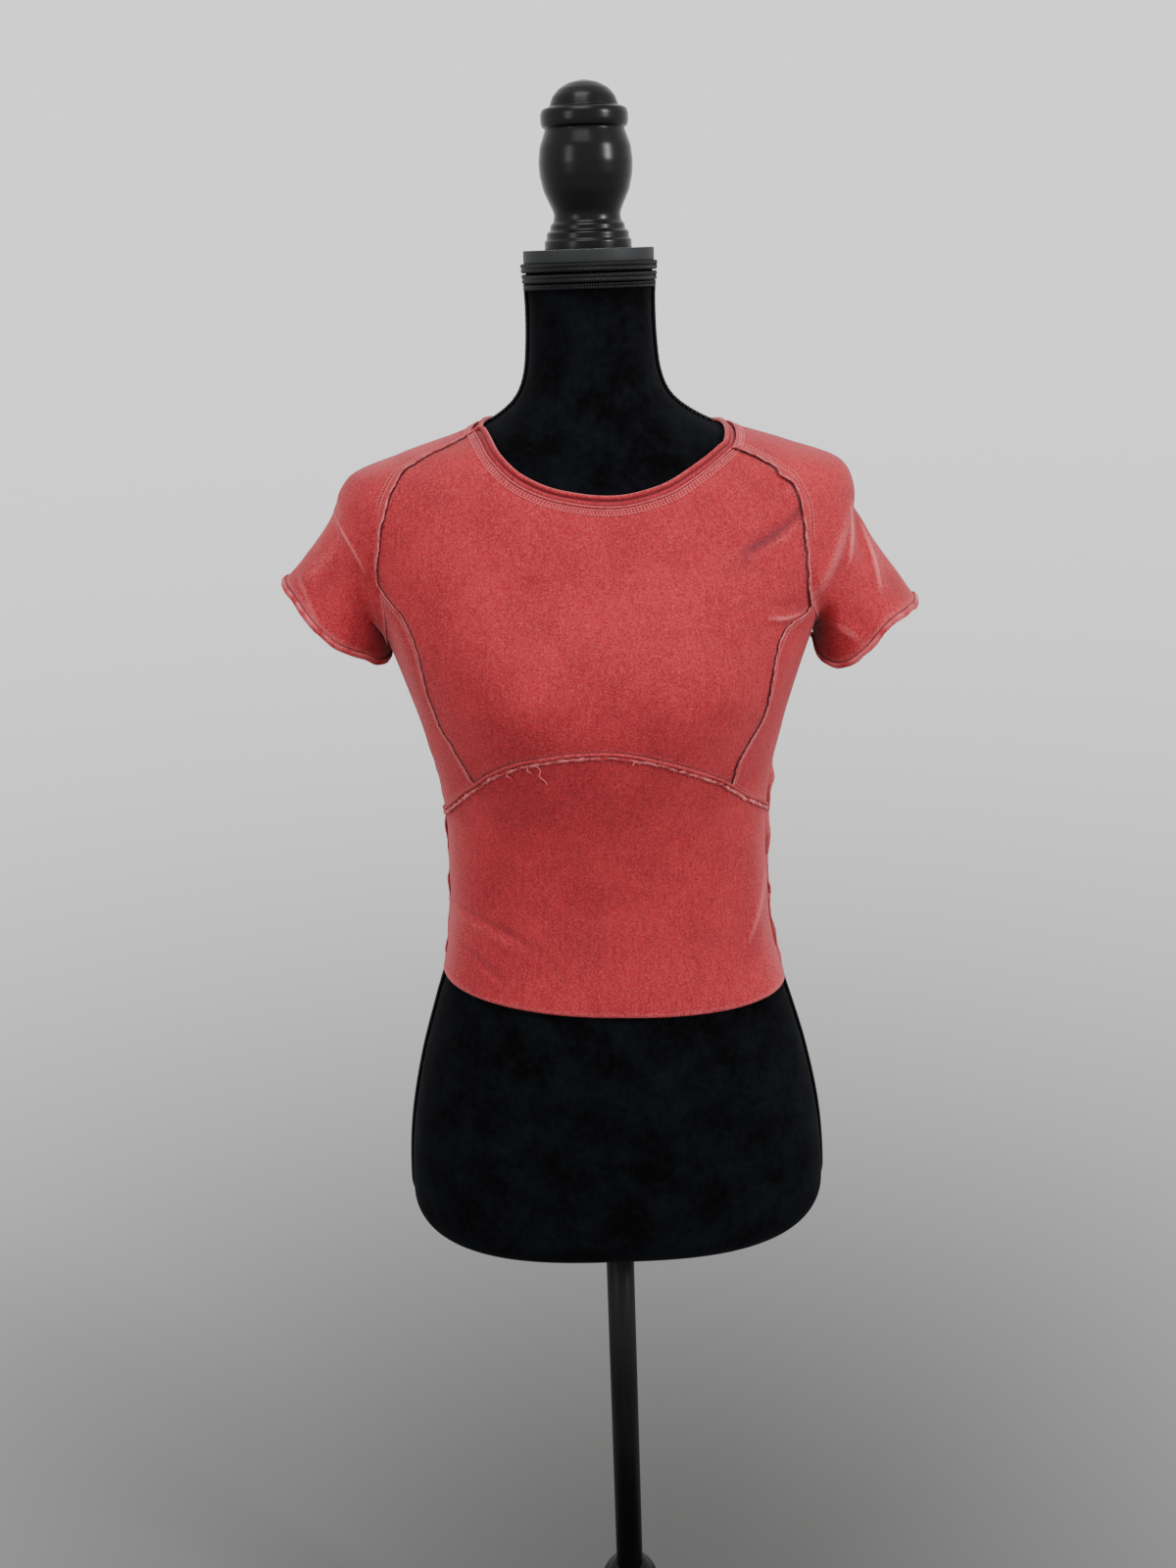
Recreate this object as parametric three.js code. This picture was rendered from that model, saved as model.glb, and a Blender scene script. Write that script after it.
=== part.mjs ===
import * as THREE from 'three';

// A short crop top with curved raglan cap sleeves, worn by a limbless dress form on a pole stand.
// Millimetres, +Z up. X runs to the viewer's right, the front faces -Y, and the foot rests on Z = 0.
// The top is cut from jersey: front bodice, two side fronts, a waist panel, one back, two sleeves
// and a neckband, with raw rolled edges along the seams.

// Driving dimensions
const floorLevel = -130; // where the floor is, as the heights in this file are counted
const seamGap = 0.3; // space between neighbouring pieces
const clothWall = 1.5; // jersey with its soft nap
const clothOut = 3.7; // outer face of the jersey, measured from the form
const lapOut = 5.5; // outer face where the sleeve laps over the side of the bodice
const trimStep = 0.5; // space under a trim that lies on another piece
const neckTop = 1171;
const plateTop = 1180;
const plateRadius = 45;
const formBottom = 433;
const formEdge = 30; // rounding under the hip
const shoulderFoot = 1020; // above this level the form has twice as many sections
const cordStep = 0.8; // space under the cords and the braid on the form
const poleRadius = 11.5;
const collarTop = 68;
const hubRadius = 36;
const footRadius = 165;
const footHeight = 22;
const bustHeight = 9;
const bustX = 64;
const bustZ = 893;
const bustSpread = 44;

// Turns a short table into rows with named columns.
function table(columns, rows) {
  const names = columns.split(' ');
  return rows.map((row) => Object.fromEntries(names.map((name, k) => [name, row[k]])));
}

// Level sections of the form, from the neck down.
const formRows = table('z half front back round', [
  [1171, 44, 45, 45, 2.0],
  [1145, 42.5, 46, 46, 2.0],
  [1115, 43.5, 49, 49, 2.0],
  [1095, 46.5, 53, 52, 2.0],
  [1080, 54, 57, 56, 2.0],
  [1068, 69, 61, 60, 2.0],
  [1057, 92, 65, 66, 2.05],
  [1044, 131, 71, 76, 2.15],
  [1030, 169, 77, 84, 2.25],
  [1016, 179.5, 83, 91, 2.35],
  [995, 179, 90, 98, 2.4],
  [965, 170, 100, 104, 2.4],
  [930, 156, 112, 105, 2.35],
  [895, 143.5, 119, 101, 2.3],
  [865, 134.5, 118, 95, 2.25],
  [835, 126.5, 109, 88, 2.2],
  [800, 119.5, 96, 82, 2.2],
  [765, 117, 87, 79, 2.2],
  [725, 117.5, 82, 80, 2.2],
  [690, 119.5, 83, 86, 2.2],
  [660, 124.5, 87, 94, 2.2],
  [625, 135.5, 93, 104, 2.25],
  [575, 150, 101, 115, 2.3],
  [520, 161, 106, 121, 2.35],
  [470, 165, 107, 120, 2.4],
  [433, 163.5, 104, 115, 2.4],
]);

// Smooth row of a table at any value of its first column, which falls or rises steadily.
function rowAt(rows, key, value) {
  const rising = rows[rows.length - 1][key] > rows[0][key] ? 1 : -1;
  let k = 0;
  while (k < rows.length - 2 && (value - rows[k + 1][key]) * rising > 0) k += 1;
  const [a, b] = [rows[k], rows[k + 1]];
  const before = rows[Math.max(0, k - 1)];
  const after = rows[Math.min(rows.length - 1, k + 2)];
  const step = b[key] - a[key];
  const t = THREE.MathUtils.clamp((value - a[key]) / step, 0, 1);
  const smooth = {};
  for (const name of Object.keys(a)) {
    const leave = ((b[name] - before[name]) / (b[key] - before[key])) * step;
    const arrive = ((after[name] - a[name]) / (after[key] - a[key])) * step;
    smooth[name] = a[name] * (2 * t ** 3 - 3 * t ** 2 + 1) + leave * (t ** 3 - 2 * t ** 2 + t)
      + b[name] * (3 * t ** 2 - 2 * t ** 3) + arrive * (t ** 3 - t ** 2);
  }
  return smooth;
}

// How far the bust stands out of the plain section.
function bust(x, z) {
  const high = Math.exp(-(((z - bustZ) / bustSpread) ** 2));
  const left = Math.exp(-(((x + bustX) / bustSpread) ** 2));
  const right = Math.exp(-(((x - bustX) / bustSpread) ** 2));
  return bustHeight * high * (left + right);
}

// Level of a point: 1 on the form, less inside it, more outside.
function levelAt(x, y, z) {
  const row = rowAt(formRows, 'z', z);
  const depth = y < 0 ? row.front + bust(x, z) : row.back;
  return (Math.abs(x / row.half) ** row.round + Math.abs(y / depth) ** row.round) ** (1 / row.round);
}

function slopeAt(p) {
  const step = 0.25;
  return new THREE.Vector3(
    levelAt(p.x + step, p.y, p.z) - levelAt(p.x - step, p.y, p.z),
    levelAt(p.x, p.y + step, p.z) - levelAt(p.x, p.y - step, p.z),
    levelAt(p.x, p.y, p.z + step) - levelAt(p.x, p.y, p.z - step),
  ).divideScalar(2 * step);
}

const normalAt = (p) => slopeAt(p).normalize();
const heightAt = (p) => (levelAt(p.x, p.y, p.z) - 1) / Math.max(slopeAt(p).length(), 1e-6);

// Moves a point straight in or out until it stands at this height over the form.
function settle(point, height) {
  const p = point.clone();
  for (let k = 0; k < 6; k += 1) {
    const move = THREE.MathUtils.clamp(height - heightAt(p), -12, 12);
    p.addScaledVector(normalAt(p), move);
  }
  return p;
}

// Point of the form's own surface at a turn in degrees from +X through the front.
function formPoint(turn, z, height = 0) {
  const angle = THREE.MathUtils.degToRad(turn);
  const row = rowAt(formRows, 'z', z);
  const across = Math.sign(Math.cos(angle)) * Math.abs(Math.cos(angle)) ** (2 / row.round);
  const deep = Math.abs(Math.sin(angle)) ** (2 / row.round);
  const x = row.half * across;
  const y = Math.sin(angle) > 0 ? -(row.front + bust(x, z)) * deep : row.back * deep;
  const p = new THREE.Vector3(x, y, z);
  return height === 0 ? p : p.addScaledVector(normalAt(p), height);
}

// Largest folds: soft ridges of cloth that stand off the form, from one end to the other.
const folds = table('x1 z1 x2 z2 high wide', [
  [-188, 1003, -163, 946, 2.0, 7],
  [177, 1004, 156, 938, 2.6, 7],
  [188, 990, 196, 925, 2.2, 7],
  [165, 912, 186, 893, 1.4, 6],
  [137, 1000, 92, 972, 1.6, 6],
  [142, 922, 112, 914, 1.4, 5],
  [-112, 733, -72, 700, 1.2, 6],
  [-108, 703, -82, 684, 1.0, 6],
  [112, 745, 98, 704, 1.1, 6],
]);

function foldHeight(p) {
  if (p.y > 0) return 0;
  let high = 0;
  for (const fold of folds) {
    const start = new THREE.Vector2(fold.x1, fold.z1);
    const along = new THREE.Vector2(fold.x2, fold.z2).sub(start);
    const reach = new THREE.Vector2(p.x, p.z).sub(start);
    const t = reach.dot(along) / along.lengthSq();
    const near = THREE.MathUtils.clamp(t, 0, 1);
    const away = reach.distanceTo(along.clone().multiplyScalar(near));
    const taper = Math.sin(Math.PI * (0.15 + 0.7 * near));
    high += fold.high * taper * Math.exp(-((away / fold.wide) ** 2));
  }
  return high;
}

const dress = (p, height) => settle(p, height + foldHeight(p));

// Point of the cloth that shows at this x and z, on the front or the back.
function onCloth(x, z, back = false) {
  const side = back ? 1 : -1;
  let near = 0;
  let far = 200;
  for (let k = 0; k < 40; k += 1) {
    const middle = (near + far) / 2;
    if (heightAt(new THREE.Vector3(x, side * middle, z)) < clothOut) near = middle;
    else far = middle;
  }
  return settle(new THREE.Vector3(x, side * far, z), clothOut);
}

const curveThrough = (points) => new THREE.CatmullRomCurve3(points, false, 'centripetal');

// Evenly spaced points of a seam given by its x and z on one face.
function seamPoints(rows, count, back = false) {
  const curve = curveThrough(rows.map(([x, z]) => onCloth(x, z, back)));
  return curve.getSpacedPoints(count).map((p) => settle(p, clothOut));
}

// Evenly spaced points of a seam given by its turn and z.
function turnPoints(rows, count) {
  const curve = curveThrough(rows.map(([turn, z]) => formPoint(turn, z, clothOut)));
  return curve.getSpacedPoints(count).map((p) => settle(p, clothOut));
}

// A closed body from points and triangles, turned so that its faces point out.
function solid(points, faces) {
  let volume = 0;
  for (let k = 0; k < faces.length; k += 3) {
    const [a, b, c] = [points[faces[k]], points[faces[k + 1]], points[faces[k + 2]]];
    volume += a.dot(b.clone().cross(c));
  }
  const order = volume < 0 ? faces.reverse() : faces;
  const geometry = new THREE.BufferGeometry();
  geometry.setAttribute('position', new THREE.Float32BufferAttribute(points.flatMap((p) => p.toArray()), 3));
  geometry.setIndex(order);
  geometry.computeVertexNormals();
  return geometry;
}

// A closed wall between a grid of outer points and one of inner points. A ring joins its last column
// to its first.
function wall(outer, inner, ring = false) {
  const rows = outer.length;
  const columns = outer[0].length;
  const spans = ring ? columns : columns - 1;
  const faces = [];
  const out = (i, j) => i * columns + (j % columns);
  const into = (i, j) => rows * columns + out(i, j);
  const quad = (a, b, c, d) => faces.push(a, b, c, a, c, d);
  for (let i = 0; i < rows - 1; i += 1) {
    for (let j = 0; j < spans; j += 1) {
      quad(out(i, j), out(i, j + 1), out(i + 1, j + 1), out(i + 1, j));
      quad(into(i + 1, j), into(i + 1, j + 1), into(i, j + 1), into(i, j));
    }
  }
  for (let j = 0; j < spans; j += 1) {
    const last = rows - 1;
    quad(out(0, j + 1), out(0, j), into(0, j), into(0, j + 1));
    quad(out(last, j), out(last, j + 1), into(last, j + 1), into(last, j));
  }
  for (let i = 0; i < rows - 1 && !ring; i += 1) {
    const last = columns - 1;
    quad(out(i, 0), out(i + 1, 0), into(i + 1, 0), into(i, 0));
    quad(out(i + 1, last), out(i, last), into(i, last), into(i + 1, last));
  }
  return solid([...outer.flat(), ...inner.flat()], faces);
}

// A closed body through level rings, with a flat fan at each end.
function loft(rings) {
  const columns = rings[0].length;
  const points = rings.flat();
  const faces = [];
  for (let i = 0; i < rings.length - 1; i += 1) {
    for (let j = 0; j < columns; j += 1) {
      const [a, b] = [i * columns + j, i * columns + ((j + 1) % columns)];
      faces.push(a, b, b + columns, a, b + columns, a + columns);
    }
  }
  for (const [i, turned] of [[0, true], [rings.length - 1, false]]) {
    const middle = new THREE.Vector3();
    rings[i].forEach((p) => middle.addScaledVector(p, 1 / columns));
    points.push(middle);
    for (let j = 0; j < columns; j += 1) {
      const [a, b] = [i * columns + j, i * columns + ((j + 1) % columns)];
      faces.push(points.length - 1, ...(turned ? [b, a] : [a, b]));
    }
  }
  return solid(points, faces);
}

const garment = new THREE.Group();
const stand = new THREE.Group();
const jersey = new THREE.MeshStandardMaterial({ color: 0xc4474b, roughness: 0.95, metalness: 0 });
const rolledEdge = new THREE.MeshStandardMaterial({ color: 0xd66c6e, roughness: 0.95, metalness: 0 });
const velour = new THREE.MeshStandardMaterial({ color: 0x121316, roughness: 0.9, metalness: 0 });
const braid = new THREE.MeshStandardMaterial({ color: 0x0c0c0e, roughness: 0.7, metalness: 0 });
const satin = new THREE.MeshStandardMaterial({ color: 0x3a3c40, roughness: 0.45, metalness: 0 });
const lacquer = new THREE.MeshStandardMaterial({ color: 0x0a0a0b, roughness: 0.15, metalness: 0 });
const poleMetal = new THREE.MeshStandardMaterial({ color: 0x0d0d0e, roughness: 0.4, metalness: 0.6 });

// Pieces are drawn in the heights of the tables and then set on the floor at Z = 0.
function add(group, name, geometry, material) {
  const mesh = new THREE.Mesh(geometry.translate(0, 0, -floorLevel), material.clone());
  mesh.name = name;
  group.add(mesh);
}

// Seams, given where they show. The left side is the viewer's left.
const neckFront = [
  [-83, 1062], [-79, 1058], [-72, 1048], [-60, 1036], [-47, 1028], [-32, 1022], [-14, 1018],
  [1.5, 1016], [18, 1016], [35, 1019], [51, 1024], [67, 1032.5], [81, 1041], [93, 1048.5],
];
const neckBack = [[-70, 1060], [-52, 1054.5], [-28, 1050.5], [5, 1049], [38, 1050.5], [64, 1053.5], [86, 1055.5]];
const raglanFront = {
  left: [
    [-83, 1062], [-97, 1055], [-115, 1048], [-131.5, 1039], [-137, 1031.5], [-142, 1022], [-145, 1013],
    [-149, 1001], [-151, 990], [-153, 978], [-153, 963],
  ],
  right: [
    [93, 1048.5], [109, 1042], [124, 1031], [130, 1027], [136.5, 1015.5], [140, 1005], [140.5, 986],
    [141.5, 975], [143.4, 955], [146.5, 940],
  ],
};
const raglanBack = {
  left: [[-70, 1060], [-92, 1050], [-112, 1038], [-127, 1022], [-137, 1003], [-144, 985], [-150, 966]],
  right: [[86, 1055.5], [103, 1046], [118, 1034], [130, 1018], [138, 1000], [143, 982], [148, 960]],
};
const armholeFront = {
  left: [[149.4, 963], [153, 946], [159, 930], [168, 917], [180, 911]],
  right: [[27.9, 940], [21, 932], [14, 925], [7, 920], [0, 917]],
};
const armholeBack = {
  left: [[209, 966], [207, 948], [202, 930], [192, 917], [180, 911]],
  right: [[-30, 960], [-27, 944], [-20, 930], [-10, 920], [0, 917]],
};
const princess = {
  left: [
    [-153, 963], [-145, 952], [-136, 942], [-128, 922], [-123, 895], [-119, 879], [-114, 863],
    [-108, 853], [-100, 836], [-93, 823],
  ],
  right: [
    [146.5, 940], [140, 934], [132, 931], [126, 926], [119, 910], [117, 896], [115, 884], [112, 870],
    [105.5, 857], [98, 844], [93, 835], [89, 816],
  ],
};
const underbust = [
  [-117, 792], [-110, 803], [-102, 814], [-93, 823], [-81, 835], [-61, 846.5], [-41.5, 851.5], [-27, 854],
  [-4, 854.6], [14, 853], [27, 850], [38.5, 846], [51.5, 840.5], [67, 832], [81, 823], [89, 816],
  [100, 805], [113, 791.5],
];
const sideTurn = { left: 180, right: 0 };
const armpitZ = { left: 911, right: 917 };
const underbustSideZ = { left: 782, right: 774 };
const hemZ = { left: 651.5, right: 636 };
const counts = { raglan: 10, armhole: 4, princess: 12, sideHigh: 8, waist: 8, front: 14, sideFront: 4, back: 20 };

const mirror = (points) => [...points].reverse();

// Cuts a curve between two of its x values, which rise along it.
function stretchOf(curve, fromX, toX, count) {
  const samples = 400;
  const place = (x) => {
    let k = 0;
    while (k < samples && curve.getPointAt(k / samples).x < x) k += 1;
    return k / samples;
  };
  const [from, to] = [fromX === null ? 0 : place(fromX), toX === null ? 1 : place(toX)];
  const steps = [...Array(count + 1).keys()];
  return steps.map((k) => settle(curve.getPointAt(from + ((to - from) * k) / count), clothOut));
}

const sidePoint = (side, z) => formPoint(sideTurn[side], z, clothOut);
const underbustCurve = curveThrough([
  sidePoint('left', underbustSideZ.left),
  ...underbust.map(([x, z]) => onCloth(x, z)),
  sidePoint('right', underbustSideZ.right),
]);
const underbustPoints = {
  left: stretchOf(underbustCurve, null, princess.left.at(-1)[0], counts.sideFront),
  front: stretchOf(underbustCurve, princess.left.at(-1)[0], princess.right.at(-1)[0], counts.front),
  right: stretchOf(underbustCurve, princess.right.at(-1)[0], null, counts.sideFront),
};

// The hem lies in one plane, a little lower on the right.
function hemPoints(fromTurn, toTurn, count) {
  return [...Array(count + 1).keys()].map((k) => {
    const turn = fromTurn + ((toTurn - fromTurn) * k) / count;
    const x = Math.cos(THREE.MathUtils.degToRad(turn));
    return formPoint(turn, THREE.MathUtils.lerp(hemZ.left, hemZ.right, (x + 1) / 2), clothOut);
  });
}

// Every seam that two pieces share, as one list of points, so that the pieces keep their gap.
function seamsOf(side) {
  const outward = side === 'left';
  const princessPoints = seamPoints(princess[side], counts.princess);
  princessPoints[counts.princess] = outward ? underbustPoints.front[0] : underbustPoints.front.at(-1);
  const frontRaglan = seamPoints(raglanFront[side], counts.raglan);
  const backRaglan = seamPoints(raglanBack[side], counts.raglan, true);
  const frontArmhole = turnPoints(armholeFront[side], counts.armhole);
  const backArmhole = turnPoints(armholeBack[side], counts.armhole);
  frontArmhole[0] = frontRaglan[counts.raglan];
  princessPoints[0] = frontRaglan[counts.raglan];
  backArmhole[0] = backRaglan[counts.raglan];
  const turn = sideTurn[side];
  return {
    princess: princessPoints,
    frontRaglan,
    backRaglan,
    frontArmhole,
    backArmhole,
    sideHigh: turnPoints([[turn, armpitZ[side]], [turn, 850], [turn, underbustSideZ[side]]], counts.sideHigh),
    sideLow: turnPoints([[turn, underbustSideZ[side]], [turn, 715], [turn, hemZ[side]]], counts.waist),
  };
}
const seams = { left: seamsOf('left'), right: seamsOf('right') };
const neckPoints = {
  front: seamPoints(neckFront, counts.front),
  back: seamPoints(neckBack, counts.back, true),
};

// Joins stretches of points end to end.
const chain = (...parts) => parts.reduce((all, part) => [...all, ...part.slice(1)]);

// Draws the outermost points of a grid in by half a seam gap, level with the form.
function trimGrid(grid) {
  const rows = grid.length;
  const columns = grid[0].length;
  const pulled = grid.map((row) => row.map((p) => p.clone()));
  const pull = (i, j, di, dj, inI, inJ) => {
    const before = grid[Math.max(0, i - di)][Math.max(0, j - dj)];
    const after = grid[Math.min(rows - 1, i + di)][Math.min(columns - 1, j + dj)];
    const side = after.clone().sub(before).cross(normalAt(grid[i][j])).normalize();
    const inward = grid[i + inI][j + inJ].clone().sub(grid[i][j]);
    pulled[i][j].addScaledVector(side, (Math.sign(side.dot(inward)) * seamGap) / 2);
  };
  for (let j = 0; j < columns; j += 1) {
    pull(0, j, 0, 1, 1, 0);
    pull(rows - 1, j, 0, 1, -1, 0);
  }
  for (let i = 0; i < rows; i += 1) {
    pull(i, 0, 1, 0, 0, 1);
    pull(i, columns - 1, 1, 0, 0, -1);
  }
  return pulled;
}

// A panel of jersey between four edges: bottom and top run from left to right, the sides upward.
function panel(bottom, top, left, right) {
  const [rows, columns] = [left.length - 1, bottom.length - 1];
  const grid = left.map((leftPoint, i) => bottom.map((bottomPoint, j) => {
    const [v, u] = [i / rows, j / columns];
    const p = leftPoint.clone().multiplyScalar(1 - u).addScaledVector(right[i], u);
    p.addScaledVector(bottomPoint, 1 - v).addScaledVector(top[j], v);
    p.addScaledVector(bottom[0], -(1 - u) * (1 - v)).addScaledVector(bottom[columns], -u * (1 - v));
    p.addScaledVector(top[0], -(1 - u) * v).addScaledVector(top[columns], -u * v);
    return p;
  }));
  const outer = trimGrid(grid).map((row) => row.map((p) => dress(p, clothOut)));
  const inner = outer.map((row) => row.map((p) => p.clone().addScaledVector(normalAt(p), -clothWall)));
  return wall(outer, inner);
}

// A side front narrows to nothing at the armhole's corner, so it stops just short of it.
function cornerEdge(from, to, count) {
  return [...Array(count + 1).keys()].map((k) => from.clone().lerp(to, k / count));
}

function sideFront(side) {
  const s = seams[side];
  const outerEdge = chain(mirror(s.sideHigh), mirror(s.frontArmhole));
  const innerEdge = mirror(s.princess);
  const shortOf = 0.4; // share of the last step that is left off at the corner
  for (const edge of [outerEdge, innerEdge]) {
    edge[counts.princess] = edge[counts.princess].clone().lerp(edge[counts.princess - 1], shortOf);
  }
  const [left, right] = side === 'left' ? [outerEdge, innerEdge] : [innerEdge, outerEdge];
  const top = cornerEdge(left.at(-1), right.at(-1), counts.sideFront);
  return panel(underbustPoints[side], top, left, right);
}

// Sleeve rows, counted down the seam: 0 at the neckband, 10 at the armhole's corner, 14 at the armpit
// and 18 at the hem. ridge is the share of the ridge line, bulge the fullness to the front and back,
// round turns the row from an arch to a ring, hug pulls it onto the form, lift is the least height.
const armpitRow = counts.raglan + counts.armhole;
const hemRow = armpitRow + 4;
const sleeveColumns = 10;
const sleeveRows = table('row ridge bulge round hug lift', [
  [0, 0, 0, 0, 1, clothOut],
  [6, 0.42, 0, 0, 1, clothOut],
  [8, 0.54, 1, 0.1, 0.5, clothOut],
  [10, 0.66, 4, 0.2, 0, clothOut],
  [12, 0.77, 13, 0.55, 0, lapOut],
  [14, 0.87, 44, 1, 0, lapOut],
  [18, 1, 44, 1, 0, lapOut],
]);
const sleeves = {
  left: {
    ridge: [
      [-84, 1064.4], [-92, 1061], [-117, 1051.6], [-148, 1042], [-171, 1033], [-182, 1023], [-186, 1012],
      [-191, 1002], [-198, 992], [-207, 981], [-216, 970.5], [-227, 959.5],
    ],
    underarm: [[-153, 910], [-155.5, 902]],
    dip: 2,
    hem: table('angle rise', [
      [0, -2], [0.3, -4], [0.6, -1], [0.95, 2], [1.25, 2], [1.57, 0], [2.2, 2], [2.8, -2], [3.1416, -2],
    ]),
  },
  right: {
    ridge: [
      [97, 1058], [106, 1054], [125, 1048.5], [145, 1042], [172, 1031.5], [181, 1020], [183, 1010],
      [185.5, 999], [191, 989], [197, 978], [204, 967], [211.5, 956], [220, 945], [229.5, 932],
    ],
    underarm: [[156, 915], [157, 906]],
    dip: 12,
    hem: table('angle rise', [
      [0, 0], [0.3, -11], [0.6, -4], [0.95, 11], [1.25, 8], [1.57, 0], [1.9, -3], [2.3, 4], [2.75, -4], [3.1416, 0],
    ]),
  },
};
const hemRoll = 5; // height of the rolled raw edge at the sleeve's hem

// Grid of a sleeve's outer face, from the front seam over the ridge to the back seam.
function sleeveGrid(side) {
  const shape = sleeves[side];
  const s = seams[side];
  const front = chain(s.frontRaglan, s.frontArmhole);
  const back = chain(s.backRaglan, s.backArmhole);
  const ridge = curveThrough(shape.ridge.map(([x, z]) => new THREE.Vector3(x, 2, z)));
  const underarm = curveThrough([
    front[armpitRow].clone().lerp(back[armpitRow], 0.5),
    ...shape.underarm.map(([x, z]) => new THREE.Vector3(x, 0, z)),
  ]);
  const grid = [];
  for (let i = 0; i <= hemRow; i += 1) {
    const row = rowAt(sleeveRows, 'row', i);
    const past = (i - armpitRow) / (hemRow - armpitRow);
    const start = i <= armpitRow ? front[i] : underarm.getPointAt(past);
    const end = i <= armpitRow ? back[i] : underarm.getPointAt(past);
    const middle = start.clone().lerp(end, 0.5);
    const half = end.clone().sub(start).multiplyScalar(0.5);
    const up = ridge.getPointAt(row.ridge).sub(middle);
    grid.push([...Array(sleeveColumns + 1).keys()].map((j) => {
      const angle = (Math.PI * j) / sleeveColumns;
      const rise = THREE.MathUtils.lerp(Math.sin(angle), Math.sin(angle) ** 2, row.round);
      const p = middle.clone().addScaledVector(half, -Math.cos(angle)).addScaledVector(up, rise);
      p.y -= row.bulge * Math.sin(2 * angle);
      p.z -= shape.dip * Math.max(0, past) * Math.sin(2 * angle) ** 2;
      p.z += rowAt(shape.hem, 'angle', angle).rise * Math.max(0, past) ** 2;
      const edge = j === 0 || j === sleeveColumns;
      const hug = edge && i < armpitRow ? 1 : row.hug;
      const seated = settle(p, row.lift);
      const placed = hug > 0 ? p.lerp(seated, hug) : p;
      if (i > 0 && !edge) placed.addScaledVector(normalAt(placed), foldHeight(placed));
      return heightAt(placed) < row.lift ? settle(placed, row.lift) : placed;
    }));
  }
  drawStraight(grid);
  return grid;
}

// From the corner of the armhole to the hem the front and the back of a sleeve hang straight.
function drawStraight(grid) {
  const corner = counts.raglan;
  for (let i = corner + 1; i < hemRow; i += 1) {
    for (let j = 1; j < sleeveColumns; j += 1) {
      const angle = (Math.PI * j) / sleeveColumns;
      const inset = Math.min(1, Math.min(angle, Math.PI - angle) / 0.5);
      const aside = 1 - Math.exp(-(((angle - Math.PI / 2) / 0.35) ** 2));
      const line = grid[corner][j].clone().lerp(grid[hemRow][j], (i - corner) / (hemRow - corner));
      const placed = grid[i][j].clone().lerp(line, inset * inset * (3 - 2 * inset) * aside);
      const lift = rowAt(sleeveRows, 'row', i).lift;
      grid[i][j] = heightAt(placed) < lift ? settle(placed, lift) : placed;
    }
  }
}

// Outward normals of any grid, from its neighbours.
function gridNormals(grid) {
  const [rows, columns] = [grid.length - 1, grid[0].length - 1];
  return grid.map((row, i) => row.map((p, j) => {
    const down = grid[Math.min(rows, i + 1)][j].clone().sub(grid[Math.max(0, i - 1)][j]);
    const across = row[Math.min(columns, j + 1)].clone().sub(row[Math.max(0, j - 1)]);
    const normal = down.cross(across).normalize();
    return normal.dot(p.clone().sub(row[0].clone().lerp(row[columns], 0.5))) < 0 ? normal.negate() : normal;
  }));
}

function sleeveNormals(grid) {
  const normals = gridNormals(grid);
  return grid.map((row, i) => row.map((p, j) => {
    const nearForm = i <= counts.raglan - 2 || ((j === 0 || j === sleeveColumns) && i <= armpitRow);
    return nearForm ? normalAt(p) : normals[i][j];
  }));
}

function sleeve(side) {
  const grid = sleeveGrid(side);
  const trimmed = trimGrid(grid);
  for (let i = armpitRow; i <= hemRow; i += 1) {
    trimmed[i][0].y = -seamGap / 2;
    trimmed[i][sleeveColumns].y = seamGap / 2;
  }
  const normals = sleeveNormals(grid);
  const inner = trimmed.map((row, i) => row.map((p, j) => p.clone().addScaledVector(normals[i][j], -clothWall)));
  for (let i = armpitRow + 1; i <= hemRow; i += 1) {
    inner[i][0].y = -seamGap / 2;
    inner[i][sleeveColumns].y = seamGap / 2;
  }
  return wall(trimmed, inner);
}

// The rolled raw hem goes on down the sleeve from its last row.
function sleeveHem(side) {
  const grid = sleeveGrid(side);
  const normals = gridNormals(grid);
  const section = table('down low high', [[seamGap, -1.5, 0], [1.6, -1.9, 0.6], [3.6, -1.9, 0.7], [hemRoll, -1.3, 0.1]]);
  const along = (j) => grid[hemRow][j].clone().sub(grid[hemRow - 1][j]).normalize();
  const ringAt = (step, height) => grid[hemRow].slice(0, sleeveColumns).map((p, j) => {
    const wave = 1 + 0.12 * Math.sin(3.1 * j);
    return p.clone().addScaledVector(along(j), step * wave).addScaledVector(normals[hemRow][j], height);
  });
  return wall(
    section.map((row) => ringAt(row.down, row.high)),
    section.map((row) => ringAt(row.down, row.low)),
    true,
  );
}

// A ribbon that follows a line of points on the cloth. Its section gives the distance to the side of
// the line and the heights of its two faces over the form.
function ribbon(points, section, ring = false, wave = () => 0) {
  const last = points.length - 1;
  const sides = points.map((p, k) => {
    const before = points[ring ? (k + last) % points.length : Math.max(0, k - 1)];
    const after = points[ring ? (k + 1) % points.length : Math.min(last, k + 1)];
    return after.clone().sub(before).cross(normalAt(p)).normalize();
  });
  const rowOf = (row, height) => points.map((p, k) => {
    const spread = row.side * (1 + wave(k));
    return dress(p.clone().addScaledVector(sides[k], spread), height);
  });
  const outer = section.map((row) => rowOf(row, row.high));
  const inner = section.map((row) => rowOf(row, row.low));
  return wall(outer, inner, ring);
}

const topLow = clothOut + trimStep;
const rawSection = table('side low high', [
  [-1.7, topLow, topLow + 1.0],
  [0, topLow, topLow + 1.4],
  [1.7, topLow, topLow + 1.0],
]);
const rawWave = (k) => 0.25 * Math.sin(2.3 * k) + 0.15 * Math.sin(5.1 * k);

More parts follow.
